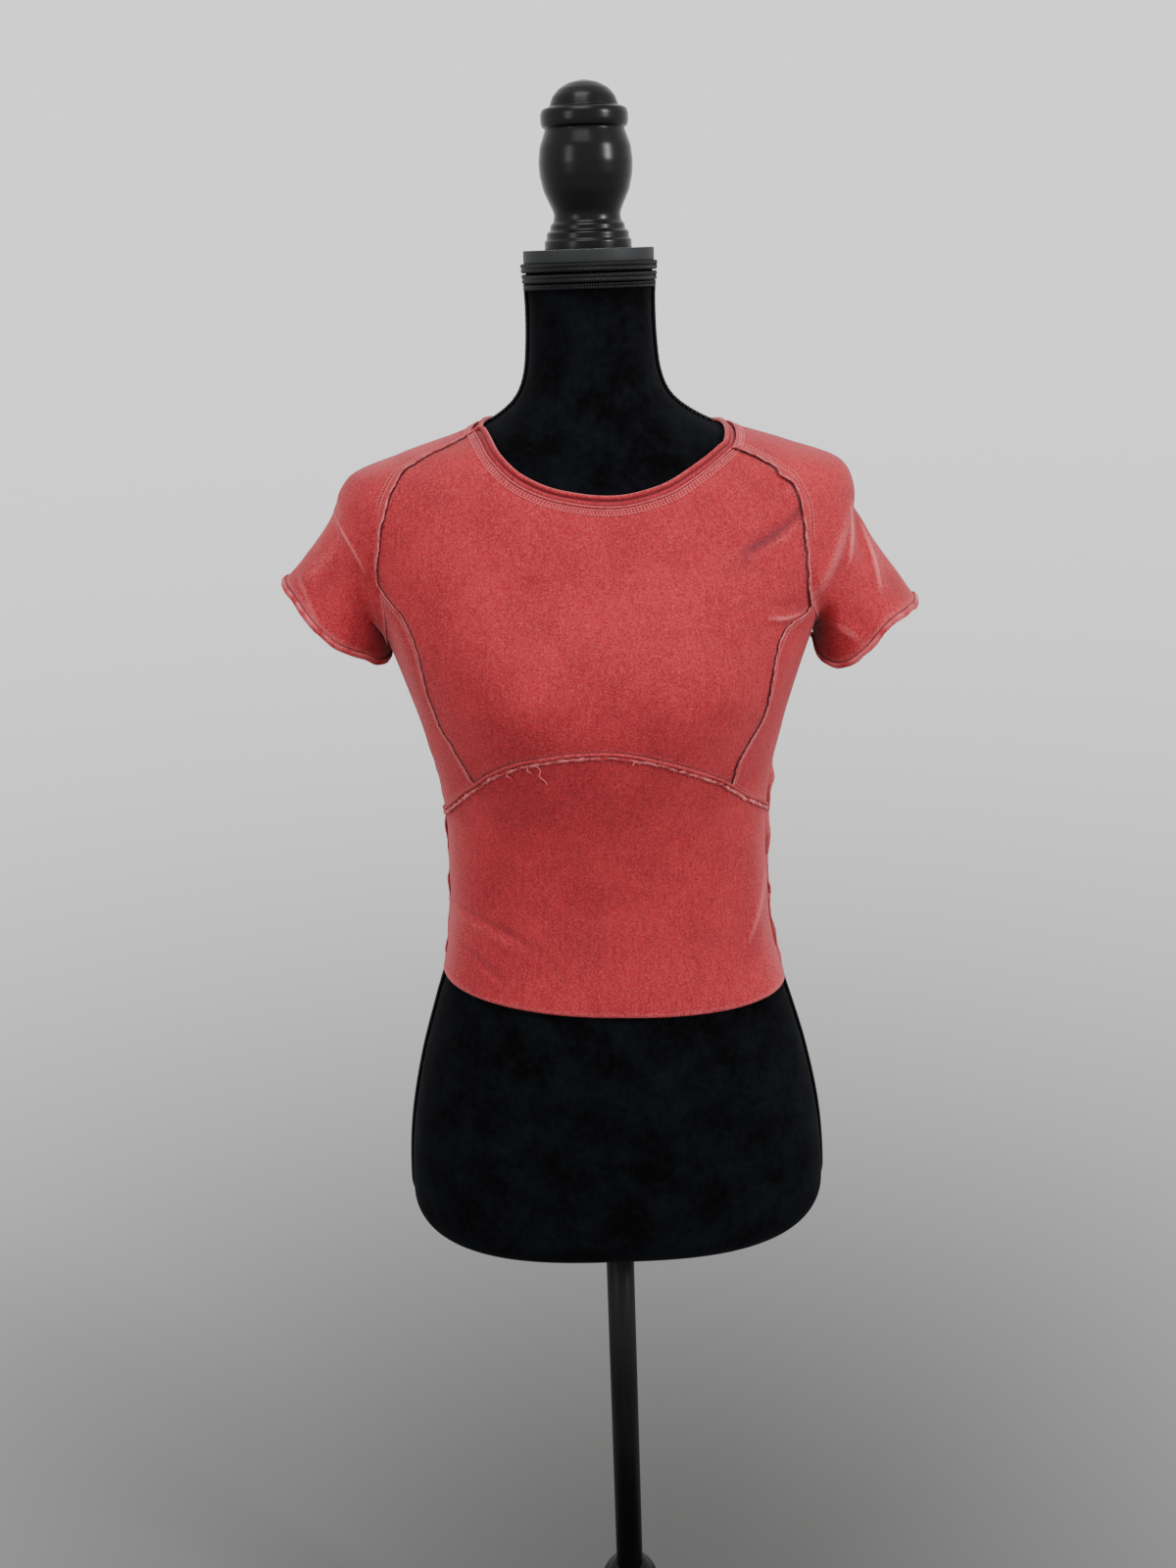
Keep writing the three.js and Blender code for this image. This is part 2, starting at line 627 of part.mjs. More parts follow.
function dressTop() {
  const { left, right } = seams;
  add(garment, 'front_bodice', panel(
    underbustPoints.front,
    neckPoints.front,
    chain(mirror(left.princess), mirror(left.frontRaglan)),
    chain(mirror(right.princess), mirror(right.frontRaglan)),
  ), jersey);
  add(garment, 'side_front_left', sideFront('left'), jersey);
  add(garment, 'side_front_right', sideFront('right'), jersey);
  const waistTop = chain(underbustPoints.left, underbustPoints.front, underbustPoints.right);
  add(garment, 'front_waist', panel(
    hemPoints(180, 0, waistTop.length - 1),
    waistTop,
    mirror(left.sideLow),
    mirror(right.sideLow),
  ), jersey);
  const backSide = ({ sideLow, sideHigh, backArmhole, backRaglan }) => chain(
    mirror(sideLow), mirror(sideHigh), mirror(backArmhole), mirror(backRaglan),
  );
  add(garment, 'back_panel', panel(
    hemPoints(180, 360, counts.back),
    neckPoints.back,
    backSide(left),
    backSide(right),
  ), jersey);
  add(garment, 'sleeve_left', sleeve('left'), jersey);
  add(garment, 'sleeve_right', sleeve('right'), jersey);
}

function trimTop() {
  const neckRing = chain(
    neckPoints.front,
    sleeveGrid('right')[0],
    mirror(neckPoints.back),
    mirror(sleeveGrid('left')[0]),
  ).slice(1);
  add(garment, 'neckband', ribbon(neckRing, table('side low high', [
    [-seamGap / 2, 2.2, 3.8],
    [-1.9, 2.2, 5.0],
    [-3.6, 2.2, 4.0],
    [-5.4, 2.2, 5.4],
    [-7.4, 2.2, 4.4],
  ]), true), jersey);
  const underbustLine = chain(underbustPoints.left, underbustPoints.front, underbustPoints.right);
  add(garment, 'underbust_seam', ribbon(underbustLine.slice(1, -1), table('side low high', [
    [-2.6, topLow, topLow + 1.0],
    [-1, topLow, topLow + 2.0],
    [0.6, topLow, topLow + 1.1],
    [2.4, topLow, topLow + 1.9],
    [4.2, topLow, topLow + 1.0],
  ])), rolledEdge);
  for (const side of ['left', 'right']) {
    const s = seams[side];
    const rows = [1, counts.raglan - 1];
    add(garment, `raglan_front_${side}`, ribbon(s.frontRaglan.slice(...rows), rawSection, false, rawWave), rolledEdge);
    add(garment, `raglan_back_${side}`, ribbon(s.backRaglan.slice(...rows), rawSection, false, rawWave), rolledEdge);
    add(garment, `princess_${side}`, ribbon(s.princess.slice(1, -1), rawSection, false, rawWave), rolledEdge);
    const sideLine = chain(s.sideHigh.slice(1), s.sideLow.slice(0, -1));
    add(garment, `side_seam_${side}`, ribbon(sideLine, rawSection, false, rawWave), rolledEdge);
    add(garment, `sleeve_hem_${side}`, sleeveHem(side), rolledEdge);
  }
}

// The form is one smooth loft from the neck to a rounded lower edge.
function dressForm() {
  const columns = 32;
  const levels = [];
  formRows.forEach(({ z }, k) => {
    if (z > formBottom + formEdge) levels.push(z);
    if (z > shoulderFoot && k + 1 < formRows.length) levels.push((z + formRows[k + 1].z) / 2);
  });
  const ringAt = (z, inset) => [...Array(columns).keys()].map((j) => {
    const p = formPoint((360 * j) / columns, z);
    const out = new THREE.Vector3(p.x, p.y, 0).normalize();
    return p.addScaledVector(out, -inset);
  });
  const rings = levels.map((z) => ringAt(z, 0));
  for (const angle of [0, 22.5, 45, 67.5, 90]) {
    const bend = THREE.MathUtils.degToRad(angle);
    const z = formBottom + formEdge * (1 - Math.sin(bend));
    const ring = ringAt(formBottom + formEdge, formEdge * (1 - Math.cos(bend)));
    rings.push(ring.map((p) => new THREE.Vector3(p.x, p.y, z)));
  }
  return loft(rings);
}

// A band of braid round the form, with the height of its face at each level.
function formBand(levels, columns) {
  const ringAt = (level, height) => [...Array(columns).keys()].map((k) => (
    formPoint((360 * k) / columns, level.z, height)
  ));
  return wall(
    levels.map((level) => ringAt(level, level.high)),
    levels.map((level) => ringAt(level, cordStep)),
    true,
  );
}

// A cord down one side of the form, domed across its width.
function sideCord(side, topZ, bottomZ, count) {
  const halfWidth = 2.3;
  const levels = [...Array(count + 1).keys()].map((k) => THREE.MathUtils.lerp(topZ, bottomZ, k / count));
  const across = table('side high', [[-1, 1.6], [-0.4, 3.2], [0.4, 3.2], [1, 1.6]]);
  const sign = side === 'left' ? -1 : 1;
  const line = (z, step, height) => {
    const row = rowAt(formRows, 'z', z);
    return settle(new THREE.Vector3(sign * row.half, step * halfWidth, z), height);
  };
  return wall(
    across.map((column) => levels.map((z) => line(z, column.side, column.high))),
    across.map((column) => levels.map((z) => line(z, column.side, cordStep))),
  );
}

function turned(profile, segments) {
  const points = profile.map(([radius, z]) => new THREE.Vector2(radius, z));
  return new THREE.LatheGeometry(points, segments).rotateX(Math.PI / 2);
}

function buildStand() {
  add(stand, 'dress_form', dressForm(), velour);
  add(stand, 'neck_braid', formBand(table('z high', [
    [1170.5, 2.2], [1167, 3.6], [1163.5, 2.6], [1160, 3.6], [1156.5, 2.2],
  ]), 32), braid);
  for (const side of ['left', 'right']) {
    add(stand, `neck_cord_${side}`, sideCord(side, 1155.8, 1074, 12), braid);
    add(stand, `hip_cord_${side}`, sideCord(side, hemZ[side] - 4, formBottom + formEdge, 10), braid);
  }
  const plateFloor = neckTop + seamGap;
  add(stand, 'neck_plate', turned([
    [0, plateFloor], [plateRadius - 0.6, plateFloor], [plateRadius, plateFloor + 0.6],
    [plateRadius, plateTop - 0.6], [plateRadius - 0.6, plateTop], [0, plateTop],
  ], 32), satin);
  const finialFloor = plateTop + seamGap;
  add(stand, 'finial', turned([
    [0, finialFloor], [29.9, finialFloor], [29.9, 1184.5], [28.1, 1186], [28.1, 1190], [25.4, 1192],
    [25.4, 1196], [23, 1199.5], [22.6, 1206.5], [26, 1214], [30.5, 1223.5], [31.5, 1231], [30.4, 1242],
    [27.6, 1250.5], [27.3, 1252], [28.9, 1256], [28.9, 1260.5], [27.2, 1263.5], [26, 1265], [23.3, 1270],
    [16.3, 1279.3], [9, 1285], [0, 1287.5],
  ], 24), lacquer);
  add(stand, 'pole', turned([
    [0, collarTop + seamGap], [poleRadius, collarTop + seamGap],
    [poleRadius, formBottom - seamGap], [0, formBottom - seamGap],
  ], 24), poleMetal);
  const footTop = floorLevel + footHeight;
  add(stand, 'pole_collar', turned([
    [0, footTop + seamGap], [hubRadius, footTop + seamGap], [hubRadius, footTop + 6], [30, footTop + 16],
    [22, footTop + 30], [16, footTop + 48], [13.5, footTop + 78], [14, footTop + 104], [18, collarTop - 56],
    [23.5, collarTop - 42], [26, collarTop - 28], [25.5, collarTop - 18], [22.5, collarTop - 10],
    [18.5, collarTop - 4], [poleRadius + 1.5, collarTop], [0, collarTop],
  ], 24), lacquer);
  add(stand, 'foot', turned([
    [0, floorLevel], [footRadius - 4, floorLevel], [footRadius, floorLevel + 4], [footRadius, floorLevel + 10],
    [footRadius - 6, floorLevel + 15], [footRadius - 40, footTop - 2], [footRadius - 75, footTop], [0, footTop],
  ], 40), lacquer);
}

dressTop();
trimTop();
buildStand();
const cropTopOnForm = new THREE.Group();
cropTopOnForm.add(stand, garment);

export default cropTopOnForm;
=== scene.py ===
import math
import bmesh
import bpy
import numpy as np
from mathutils import Matrix


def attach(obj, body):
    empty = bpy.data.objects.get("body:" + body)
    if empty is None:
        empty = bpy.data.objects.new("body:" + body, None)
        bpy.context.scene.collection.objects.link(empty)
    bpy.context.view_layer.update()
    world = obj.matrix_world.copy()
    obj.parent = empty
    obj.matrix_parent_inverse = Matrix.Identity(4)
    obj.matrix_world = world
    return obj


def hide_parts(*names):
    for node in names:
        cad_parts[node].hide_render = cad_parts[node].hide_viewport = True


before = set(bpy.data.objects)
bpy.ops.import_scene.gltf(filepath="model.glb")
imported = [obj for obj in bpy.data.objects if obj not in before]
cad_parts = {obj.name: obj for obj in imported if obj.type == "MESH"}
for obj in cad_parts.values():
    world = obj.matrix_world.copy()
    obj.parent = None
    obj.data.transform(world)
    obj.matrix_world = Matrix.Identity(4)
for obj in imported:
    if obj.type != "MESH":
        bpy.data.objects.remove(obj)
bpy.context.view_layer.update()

# A raw-edged jersey crop top on a velour dress form. The sizes below are millimetres in the part's
# frame, and meshes become metres when they are made. Left and right are the viewer's.
mm = 0.001
floorLevel = -130  # where the floor is, as the heights below are counted
body = "root"

# Outline of the form, from the neck down
formRows = np.array([
    # z, half width, depth to the front, depth to the back, roundness
    (1171, 44, 45, 45, 2.0), (1145, 42.5, 46, 46, 2.0), (1115, 43.5, 49, 49, 2.0),
    (1095, 46.5, 53, 52, 2.0), (1080, 54, 57, 56, 2.0), (1068, 69, 61, 60, 2.0),
    (1057, 92, 65, 66, 2.05), (1044, 131, 71, 76, 2.15), (1030, 169, 77, 84, 2.25),
    (1016, 179.5, 83, 91, 2.35), (995, 179, 90, 98, 2.4), (965, 170, 100, 104, 2.4),
    (930, 156, 112, 105, 2.35), (895, 143.5, 119, 101, 2.3), (865, 134.5, 118, 95, 2.25),
    (835, 126.5, 109, 88, 2.2), (800, 119.5, 96, 82, 2.2), (765, 117, 87, 79, 2.2),
    (725, 117.5, 82, 80, 2.2), (690, 119.5, 83, 86, 2.2), (660, 124.5, 87, 94, 2.2),
    (625, 135.5, 93, 104, 2.25), (575, 150, 101, 115, 2.3), (520, 161, 106, 121, 2.35),
    (470, 165, 107, 120, 2.4), (433, 163.5, 104, 115, 2.4),
], float)[::-1]
bustShape = {"height": 9, "x": 64, "z": 893, "spread": 44}
cloth = {"outer": 3.7, "thick": 1.1}  # the jersey's outer side over the form, and its wall


def hermite(keys, values, at):  # smooth rows of a table whose first column rises
    at = np.clip(at, keys[0], keys[-1])
    k = np.clip(np.searchsorted(keys, at) - 1, 0, len(keys) - 2)
    last = len(keys) - 1
    before, after = np.maximum(np.arange(last + 1) - 1, 0), np.minimum(np.arange(last + 1) + 1, last)
    slopes = (values[after] - values[before]) / (keys[after] - keys[before])[:, None]
    step = (keys[k + 1] - keys[k])[..., None]
    t = (at - keys[k])[..., None] / step
    return (values[k] * (2 * t**3 - 3 * t**2 + 1) + slopes[k] * step * (t**3 - 2 * t**2 + t)
            + values[k + 1] * (3 * t**2 - 2 * t**3) + slopes[k + 1] * step * (t**3 - t**2))


def bust(x, z):
    b = bustShape
    high = b["height"] * np.exp(-(((z - b["z"]) / b["spread"]) ** 2))
    left, right = (np.exp(-(((x + side * b["x"]) / b["spread"]) ** 2)) for side in (1, -1))
    return high * (left + right)


def levelAt(p):  # 1 on the form, less inside it, more outside
    half, front, back, power = np.moveaxis(hermite(formRows[:, 0], formRows[:, 1:], p[..., 2]), -1, 0)
    deep = np.where(p[..., 1] < 0, front + bust(p[..., 0], p[..., 2]), back)
    return (np.abs(p[..., 0] / half) ** power + np.abs(p[..., 1] / deep) ** power) ** (1 / power)


def slopeAt(p, step=0.25):
    moves = np.eye(3) * step
    return np.stack([levelAt(p + m) - levelAt(p - m) for m in moves], -1) / (2 * step)


def unit(v):
    return v / np.maximum(np.linalg.norm(v, axis=-1, keepdims=True), 1e-9)


def heightOver(p, slope=None):
    slope = slopeAt(p) if slope is None else slope
    return (levelAt(p) - 1) / np.maximum(np.linalg.norm(slope, axis=-1), 1e-6)


def normalsAt(p):
    return unit(slopeAt(p))


def settle(p, height, rounds=5):  # moves points straight in or out to a height over the form
    p = np.array(p, float)
    for _ in range(rounds):
        slope = slopeAt(p)
        move = np.clip(height - heightOver(p, slope), -12, 12)
        p = p + unit(slope) * move[..., None]
    return p


def formPoint(turn, z, height=0.0):  # turn in degrees from +X through the front
    turn, z = np.broadcast_arrays(np.radians(np.asarray(turn, float)), np.asarray(z, float))
    half, front, back, power = np.moveaxis(hermite(formRows[:, 0], formRows[:, 1:], z), -1, 0)
    x = half * np.sign(np.cos(turn)) * np.abs(np.cos(turn)) ** (2 / power)
    deep = np.abs(np.sin(turn)) ** (2 / power)
    y = np.where(np.sin(turn) > 0, -(front + bust(x, z)) * deep, back * deep)
    p = np.stack([x, y, z], -1)
    return p + normalsAt(p) * height


def onCloth(x, z, back=False):  # the cloth's point that shows at this x and z
    side = 1 if back else -1
    x, z = np.asarray(x, float), np.asarray(z, float)
    near, far = np.zeros_like(x), np.full_like(x, 200.0)
    for _ in range(30):
        middle = (near + far) / 2
        inside = heightOver(np.stack([x, side * middle, z], -1)) < cloth["outer"]
        near, far = np.where(inside, middle, near), np.where(inside, far, middle)
    return settle(np.stack([x, side * far, z], -1), cloth["outer"])


# Lines: every seam is a smooth line of points, evenly spaced
def smoothLine(points, count, ring=False):
    points = np.asarray(points, float)
    if ring:
        points = np.concatenate([points, points[:1]])
    lengths = np.linalg.norm(np.diff(points, axis=0), axis=1)
    keys = np.concatenate([[0], np.cumsum(np.maximum(lengths, 1e-6))])
    fine = hermite(keys, points, np.linspace(0, keys[-1], 30 * len(points)))
    return evenly(fine, count)


def evenly(fine, count, start=0.0, end=1.0):
    along = np.concatenate([[0], np.cumsum(np.linalg.norm(np.diff(fine, axis=0), axis=1))])
    at = np.linspace(start, end, count + 1) * along[-1]
    return np.stack([np.interp(at, along, fine[:, k]) for k in range(3)], -1)


def seamLine(rows, back=False, count=160):
    rows = np.array(rows, float)
    return settle(smoothLine(onCloth(rows[:, 0], rows[:, 1], back), count), cloth["outer"])


def turnLine(rows, count=80):
    rows = np.array(rows, float)
    return settle(smoothLine(formPoint(rows[:, 0], rows[:, 1], cloth["outer"]), count), cloth["outer"])


# Where the seams run: x and z on the front or back, or turn and z round the armholes
neckFront = [(-83, 1062), (-79, 1058), (-72, 1048), (-60, 1036), (-47, 1028), (-32, 1022), (-14, 1018),
             (1.5, 1016), (18, 1016), (35, 1019), (51, 1024), (67, 1032.5), (81, 1041), (93, 1048.5)]
neckBack = [(-70, 1060), (-52, 1054.5), (-28, 1050.5), (5, 1049), (38, 1050.5), (64, 1053.5), (86, 1055.5)]
raglanFront = {
    "left": [(-83, 1062), (-97, 1055), (-115, 1048), (-131.5, 1039), (-137, 1031.5), (-142, 1022),
             (-145, 1013), (-149, 1001), (-151, 990), (-153, 978), (-153, 963)],
    "right": [(93, 1048.5), (109, 1042), (124, 1031), (130, 1027), (136.5, 1015.5), (140, 1005),
              (140.5, 986), (141.5, 975), (143.4, 955), (146.5, 940)],
}
raglanBack = {
    "left": [(-70, 1060), (-92, 1050), (-112, 1038), (-127, 1022), (-137, 1003), (-144, 985), (-150, 966)],
    "right": [(86, 1055.5), (103, 1046), (118, 1034), (130, 1018), (138, 1000), (143, 982), (148, 960)],
}
armholeFront = {"left": [(149.4, 963), (153, 946), (159, 930), (168, 917), (180, 911)],
                "right": [(27.9, 940), (21, 932), (14, 925), (7, 920), (0, 917)]}
armholeBack = {"left": [(209, 966), (207, 948), (202, 930), (192, 917), (180, 911)],
               "right": [(-30, 960), (-27, 944), (-20, 930), (-10, 920), (0, 917)]}
princess = {
    "left": [(-153, 963), (-145, 952), (-136, 942), (-128, 922), (-123, 895), (-119, 879), (-114, 863),
             (-108, 853), (-100, 836), (-93, 823)],
    "right": [(146.5, 940), (140, 934), (132, 931), (126, 926), (119, 910), (117, 896), (115, 884),
              (112, 870), (105.5, 857), (98, 844), (93, 835), (89, 816)],
}
underbust = [(-117, 792), (-110, 803), (-102, 814), (-93, 823), (-81, 835), (-61, 846.5),
             (-41.5, 851.5), (-27, 854), (-4, 854.6), (14, 853), (27, 850), (38.5, 846),
             (51.5, 840.5), (67, 832), (81, 823), (89, 816), (100, 805), (113, 791.5)]
sideTurn = {"left": 180, "right": 0}
armpitZ = {"left": 911, "right": 917}
underbustSideZ = {"left": 782, "right": 774}
hemZ = {"left": 651.5, "right": 636}
sides = ("left", "right")


def hemLine(fromTurn, toTurn, count=200):
    turn = np.linspace(fromTurn, toTurn, count + 1)
    lean = (np.cos(np.radians(turn)) + 1) / 2
    return formPoint(turn, hemZ["left"] + (hemZ["right"] - hemZ["left"]) * lean, cloth["outer"])


def placeOfX(line, x):
    along = np.concatenate([[0], np.cumsum(np.linalg.norm(np.diff(line, axis=0), axis=1))])
    return along[np.argmax(line[:, 0] >= x)] / along[-1]


def makeSeams():
    lines = {"neckFront": seamLine(neckFront), "neckBack": seamLine(neckBack, True)}
    ends = [formPoint(sideTurn[s], underbustSideZ[s], cloth["outer"]) for s in sides]
    rows = np.array(underbust, float)
    whole = smoothLine(np.concatenate([[ends[0]], onCloth(rows[:, 0], rows[:, 1]), [ends[1]]]), 900)
    cuts = [0, placeOfX(whole, princess["left"][-1][0]), placeOfX(whole, princess["right"][-1][0]), 1]
    for name, start, end in zip(("underLeft", "underFront", "underRight"), cuts[:-1], cuts[1:]):
        lines[name] = settle(evenly(whole, 160, start, end), cloth["outer"])
    lines["underWhole"] = settle(evenly(whole, 420), cloth["outer"])
    for side in sides:
        turn = sideTurn[side]
        lines["raglanFront", side] = seamLine(raglanFront[side])
        lines["raglanBack", side] = seamLine(raglanBack[side], True)
        lines["armholeFront", side] = turnLine(armholeFront[side])
        lines["armholeBack", side] = turnLine(armholeBack[side])
        lines["princess", side] = seamLine(princess[side])
        low = underbustSideZ[side]
        lines["sideHigh", side] = turnLine([(turn, armpitZ[side]), (turn, 850), (turn, low)])
        lines["sideLow", side] = turnLine([(turn, low), (turn, 715), (turn, hemZ[side])])
    return lines


seams = makeSeams()
print("seams laid out")

# Creases on the front and the back, each from one end to the other. A trough has a height below 0.
creases = {
    "front": np.array([
        # x1, z1, x2, z2, height, width
        (139, 1006, 98, 984, -1.2, 5), (138, 997, 100, 974, 0.9, 5), (130, 1014, 96, 996, 0.7, 6),
        (141, 936, 108, 937, 1.3, 3.4), (142, 943, 112, 945, -0.9, 4),
        (138, 929, 116, 930, -0.6, 4), (-122, 716, -53, 693, -1.3, 3.5),
        (-118, 707, -60, 685, 0.9, 4.5), (-118, 687, -81, 666, -1.1, 3.5),
        (-114, 677, -84, 659, 0.8, 4), (120, 728, 106, 680, 1.2, 5), (114, 722, 99, 682, -0.8, 5),
        (-96, 812, -62, 796, 0.6, 7), (96, 800, 66, 790, 0.6, 7), (-30, 985, 30, 978, 0.4, 14),
        (-60, 900, -100, 866, 0.5, 9), (70, 890, 100, 872, 0.5, 9), (-40, 742, 30, 735, 0.4, 12),
        (-124, 862, -130, 826, 0.7, 5), (122, 860, 126, 830, 0.6, 5), (60, 690, 88, 668, 0.5, 8),
    ], float),
    "back": np.array([
        (-137, 1002, -96, 970, 1.4, 6), (-130, 990, -94, 962, -1.0, 6), (136, 1000, 100, 974, 1.3, 6),
        (128, 992, 92, 966, -1.0, 6), (-60, 800, 50, 790, 1.5, 9), (-66, 784, 58, 772, -1.2, 8),
        (-84, 760, 80, 752, 1.3, 9), (-70, 742, 66, 733, -1.0, 8), (-100, 726, -20, 712, 1.1, 8),
        (104, 722, 30, 706, 1.0, 8), (-40, 1010, 44, 1006, 0.5, 14), (-110, 690, -60, 676, 0.8, 7),
        (108, 690, 66, 674, 0.8, 7), (-20, 900, -80, 862, 0.5, 12), (30, 896, 92, 858, 0.5, 12),
    ], float),
}
sleeveCreases = np.array([
    # x1, z1, x2, z2, height, width; the back has them a little lower
    (-187, 1010, -161, 970, 1.0, 2.8), (-179, 995, -211, 963, 1.5, 8), (-182, 974, -200, 950, -1.4, 7),
    (-172, 990, -160, 950, -0.8, 5), (-208, 976, -200, 945, 0.6, 5), (177, 1004, 147, 945, 1.9, 5.5),
    (172, 977, 157, 947, -1.9, 4.5), (178, 1003, 174, 958, 1.6, 3.2), (181, 994, 188, 958, -1.5, 4.5),
    (188, 987, 199, 938, 2.0, 3.6), (204, 954, 214, 936, -1.1, 5), (162, 923, 184, 908, 1.3, 5),
    (176, 930, 190, 905, -0.9, 5), (206, 970, 218, 940, 0.7, 5),
], float)


def ridgeSum(x, z, rows):
    total = np.zeros_like(x)
    for x1, z1, x2, z2, high, wide in rows:
        ax, az = x2 - x1, z2 - z1
        t = np.clip(((x - x1) * ax + (z - z1) * az) / (ax * ax + az * az), 0, 1)
        length = math.hypot(ax, az)
        bend = 0.12 * length * np.sin(np.pi * t) * (1 if high > 0 else 0.8)  # no crease is quite straight
        px, pz = x1 + ax * t - az / length * bend * 0.4, z1 + az * t + ax / length * bend * 0.4
        away = np.hypot(x - px, z - pz)
        total += high * np.sin(np.pi * (0.12 + 0.76 * t)) * np.exp(-((away / wide) ** 2))
    return total


wornLines = np.array([
    # x1, z1, x2, z2, strength, width: creases of the sleeves and the bodice where the dye has rubbed off
    (-187, 1010, -161, 970, 0.9, 0.9), (-179, 995, -211, 963, 0.30, 6),
    (177, 1004, 146, 941, 0.50, 4.5), (178, 1003, 175, 966, 1.0, 1.6),
    (188, 987, 198, 942, 1.0, 1.7), (162, 923, 184, 908, 0.45, 3.0), (139, 936, 110, 937, 0.8, 1.5),
    (-118, 707, -66, 689, 0.2, 3.0), (120, 728, 107, 684, 0.5, 1.6),
    (-215, 968, -200, 935, 0.4, 2.0), (138, 998, 112, 984, 0.25, 3.0),
    (-149, 948, -134, 868, 0.45, 7), (146, 900, 128, 820, 0.30, 7),
], float)
darkLines = np.array([
    # painted shade in crease troughs: the grey streak under the right shoulder, fainter ones, the armpits
    (140, 1006, 99, 984, 0.90, 3.4), (114, 995, 86, 972, 0.40, 6.0), (142, 1010, 132, 1003, 0.50, 3.5),
    (142, 941, 130, 940, 0.45, 2.2), (-122, 716, -56, 694, 0.48, 1.9), (-118, 687, -84, 667, 0.42, 1.9),
    (-30, 712, -8, 692, 0.12, 14.0), (152, 935, 168, 908, 0.15, 3.5),
    (-152, 935, -168, 912, 0.25, 4.5), (172, 977, 157, 947, 0.22, 4.0), (204, 954, 214, 936, 0.30, 5.0),
    (-182, 974, -200, 950, 0.15, 7.0),
], float)


def softWaves(p, seed, size=46.0, count=7):  # slow unevenness of worn cloth, from a few long waves
    draw = np.random.default_rng(seed)
    total = np.zeros(p.shape[:-1])
    for _ in range(count):
        way = unit(draw.normal(size=3))
        total += np.sin(p @ way * (2 * np.pi / (size * draw.uniform(0.6, 1.7))) + draw.uniform(0, 6.3))
    return total / count


def creaseHeight(p):
    x, z = p[..., 0], p[..., 2]
    front = ridgeSum(x, z, creases["front"])
    back = ridgeSum(x, z, creases["back"])
    return np.where(p[..., 1] < 0, front, back) + 0.45 * softWaves(p, 3)


def dress(p, height):
    return settle(p, height + np.maximum(creaseHeight(p), -1.3))


# Meshes
def gridQuads(rows, columns, ring=False, base=0, flip=False):
    i, j = np.meshgrid(np.arange(rows - 1), np.arange(columns if ring else columns - 1), indexing="ij")
    k = (j + 1) % columns
    quads = np.stack([i * columns + j, i * columns + k, (i + 1) * columns + k, (i + 1) * columns + j], -1)
    quads = quads.reshape(-1, 4) + base
    return quads[:, ::-1] if flip else quads


def bridge(a, b, ring=False):  # quads between two rows of point numbers
    k = np.arange(len(a) if ring else len(a) - 1)
    n = (k + 1) % len(a)
    return np.stack([a[k], a[n], b[n], b[k]], -1)


def makeMesh(name, points, faces, material, marks=None):
    mesh = bpy.data.meshes.new(name)
    placed = (np.asarray(points).reshape(-1, 3) - np.array([0, 0, floorLevel])) * mm
    mesh.from_pydata(placed.tolist(), [], [list(f) for f in faces])
    for mark, values in (marks or {}).items():
        layer = mesh.attributes.new(mark, "FLOAT", "POINT")
        layer.data.foreach_set("value", np.ravel(values).astype(np.float32))
    mesh.polygons.foreach_set("use_smooth", [True] * len(mesh.polygons))
    mesh.validate()
    piece = bpy.data.objects.new(name, mesh)
    bpy.context.scene.collection.objects.link(piece)
    mesh.materials.append(material)
    fixNormals(mesh)
    return piece


def fixNormals(mesh):
    bm = bmesh.new()
    bm.from_mesh(mesh)
    bmesh.ops.recalc_face_normals(bm, faces=bm.faces)
    bm.to_mesh(mesh)
    bm.free()


def shellFaces(rows, columns, ring=False, base=0):
    n = rows * columns
    out = np.arange(n).reshape(rows, columns) + base
    into = out + n
    parts = [gridQuads(rows, columns, ring, base), gridQuads(rows, columns, ring, base + n, True)]
    parts += [bridge(out[0], into[0], ring), bridge(into[-1], out[-1], ring)]
    if not ring:
        parts += [bridge(into[:, 0], out[:, 0]), bridge(out[:, -1], into[:, -1])]
    return np.concatenate(parts)


def gridNormals(grid, ring=False):
    down = np.gradient(grid, axis=0)
    across = (np.roll(grid, -1, 1) - np.roll(grid, 1, 1)) / 2 if ring else np.gradient(grid, axis=1)
    return unit(np.cross(down, across))


def makeShell(name, outer, normals, thick, material, ring=False, marks=None):
    inner = outer - normals * thick
    both = {k: np.concatenate([np.ravel(v)] * 2) for k, v in (marks or {}).items()}
    points = np.concatenate([outer.reshape(-1, 3), inner.reshape(-1, 3)])
    return makeMesh(name, points, shellFaces(*outer.shape[:2], ring), material, both)


def finish(piece, node, slot):
    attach(piece, body)
    if node:
        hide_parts(*([node] if isinstance(node, str) else node))
    return piece


# Materials: a socket with the usual operators, and one way to add any other node
class Value:
    def __init__(self, finish, link):
        self.finish, self.link = finish, link

    def maths(self, operation, other, swapped=False):
        pair = (other, self) if swapped else (self, other)
        return self.finish.node("ShaderNodeMath", {"operation": operation}, {0: pair[0], 1: pair[1]})

    def __add__(self, other): return self.maths("ADD", other)
    def __radd__(self, other): return self.maths("ADD", other, True)
    def __sub__(self, other): return self.maths("SUBTRACT", other)
    def __rsub__(self, other): return self.maths("SUBTRACT", other, True)
    def __mul__(self, other): return self.maths("MULTIPLY", other)
    def __rmul__(self, other): return self.maths("MULTIPLY", other, True)
    def __truediv__(self, other): return self.maths("DIVIDE", other)
    def __rtruediv__(self, other): return self.maths("DIVIDE", other, True)


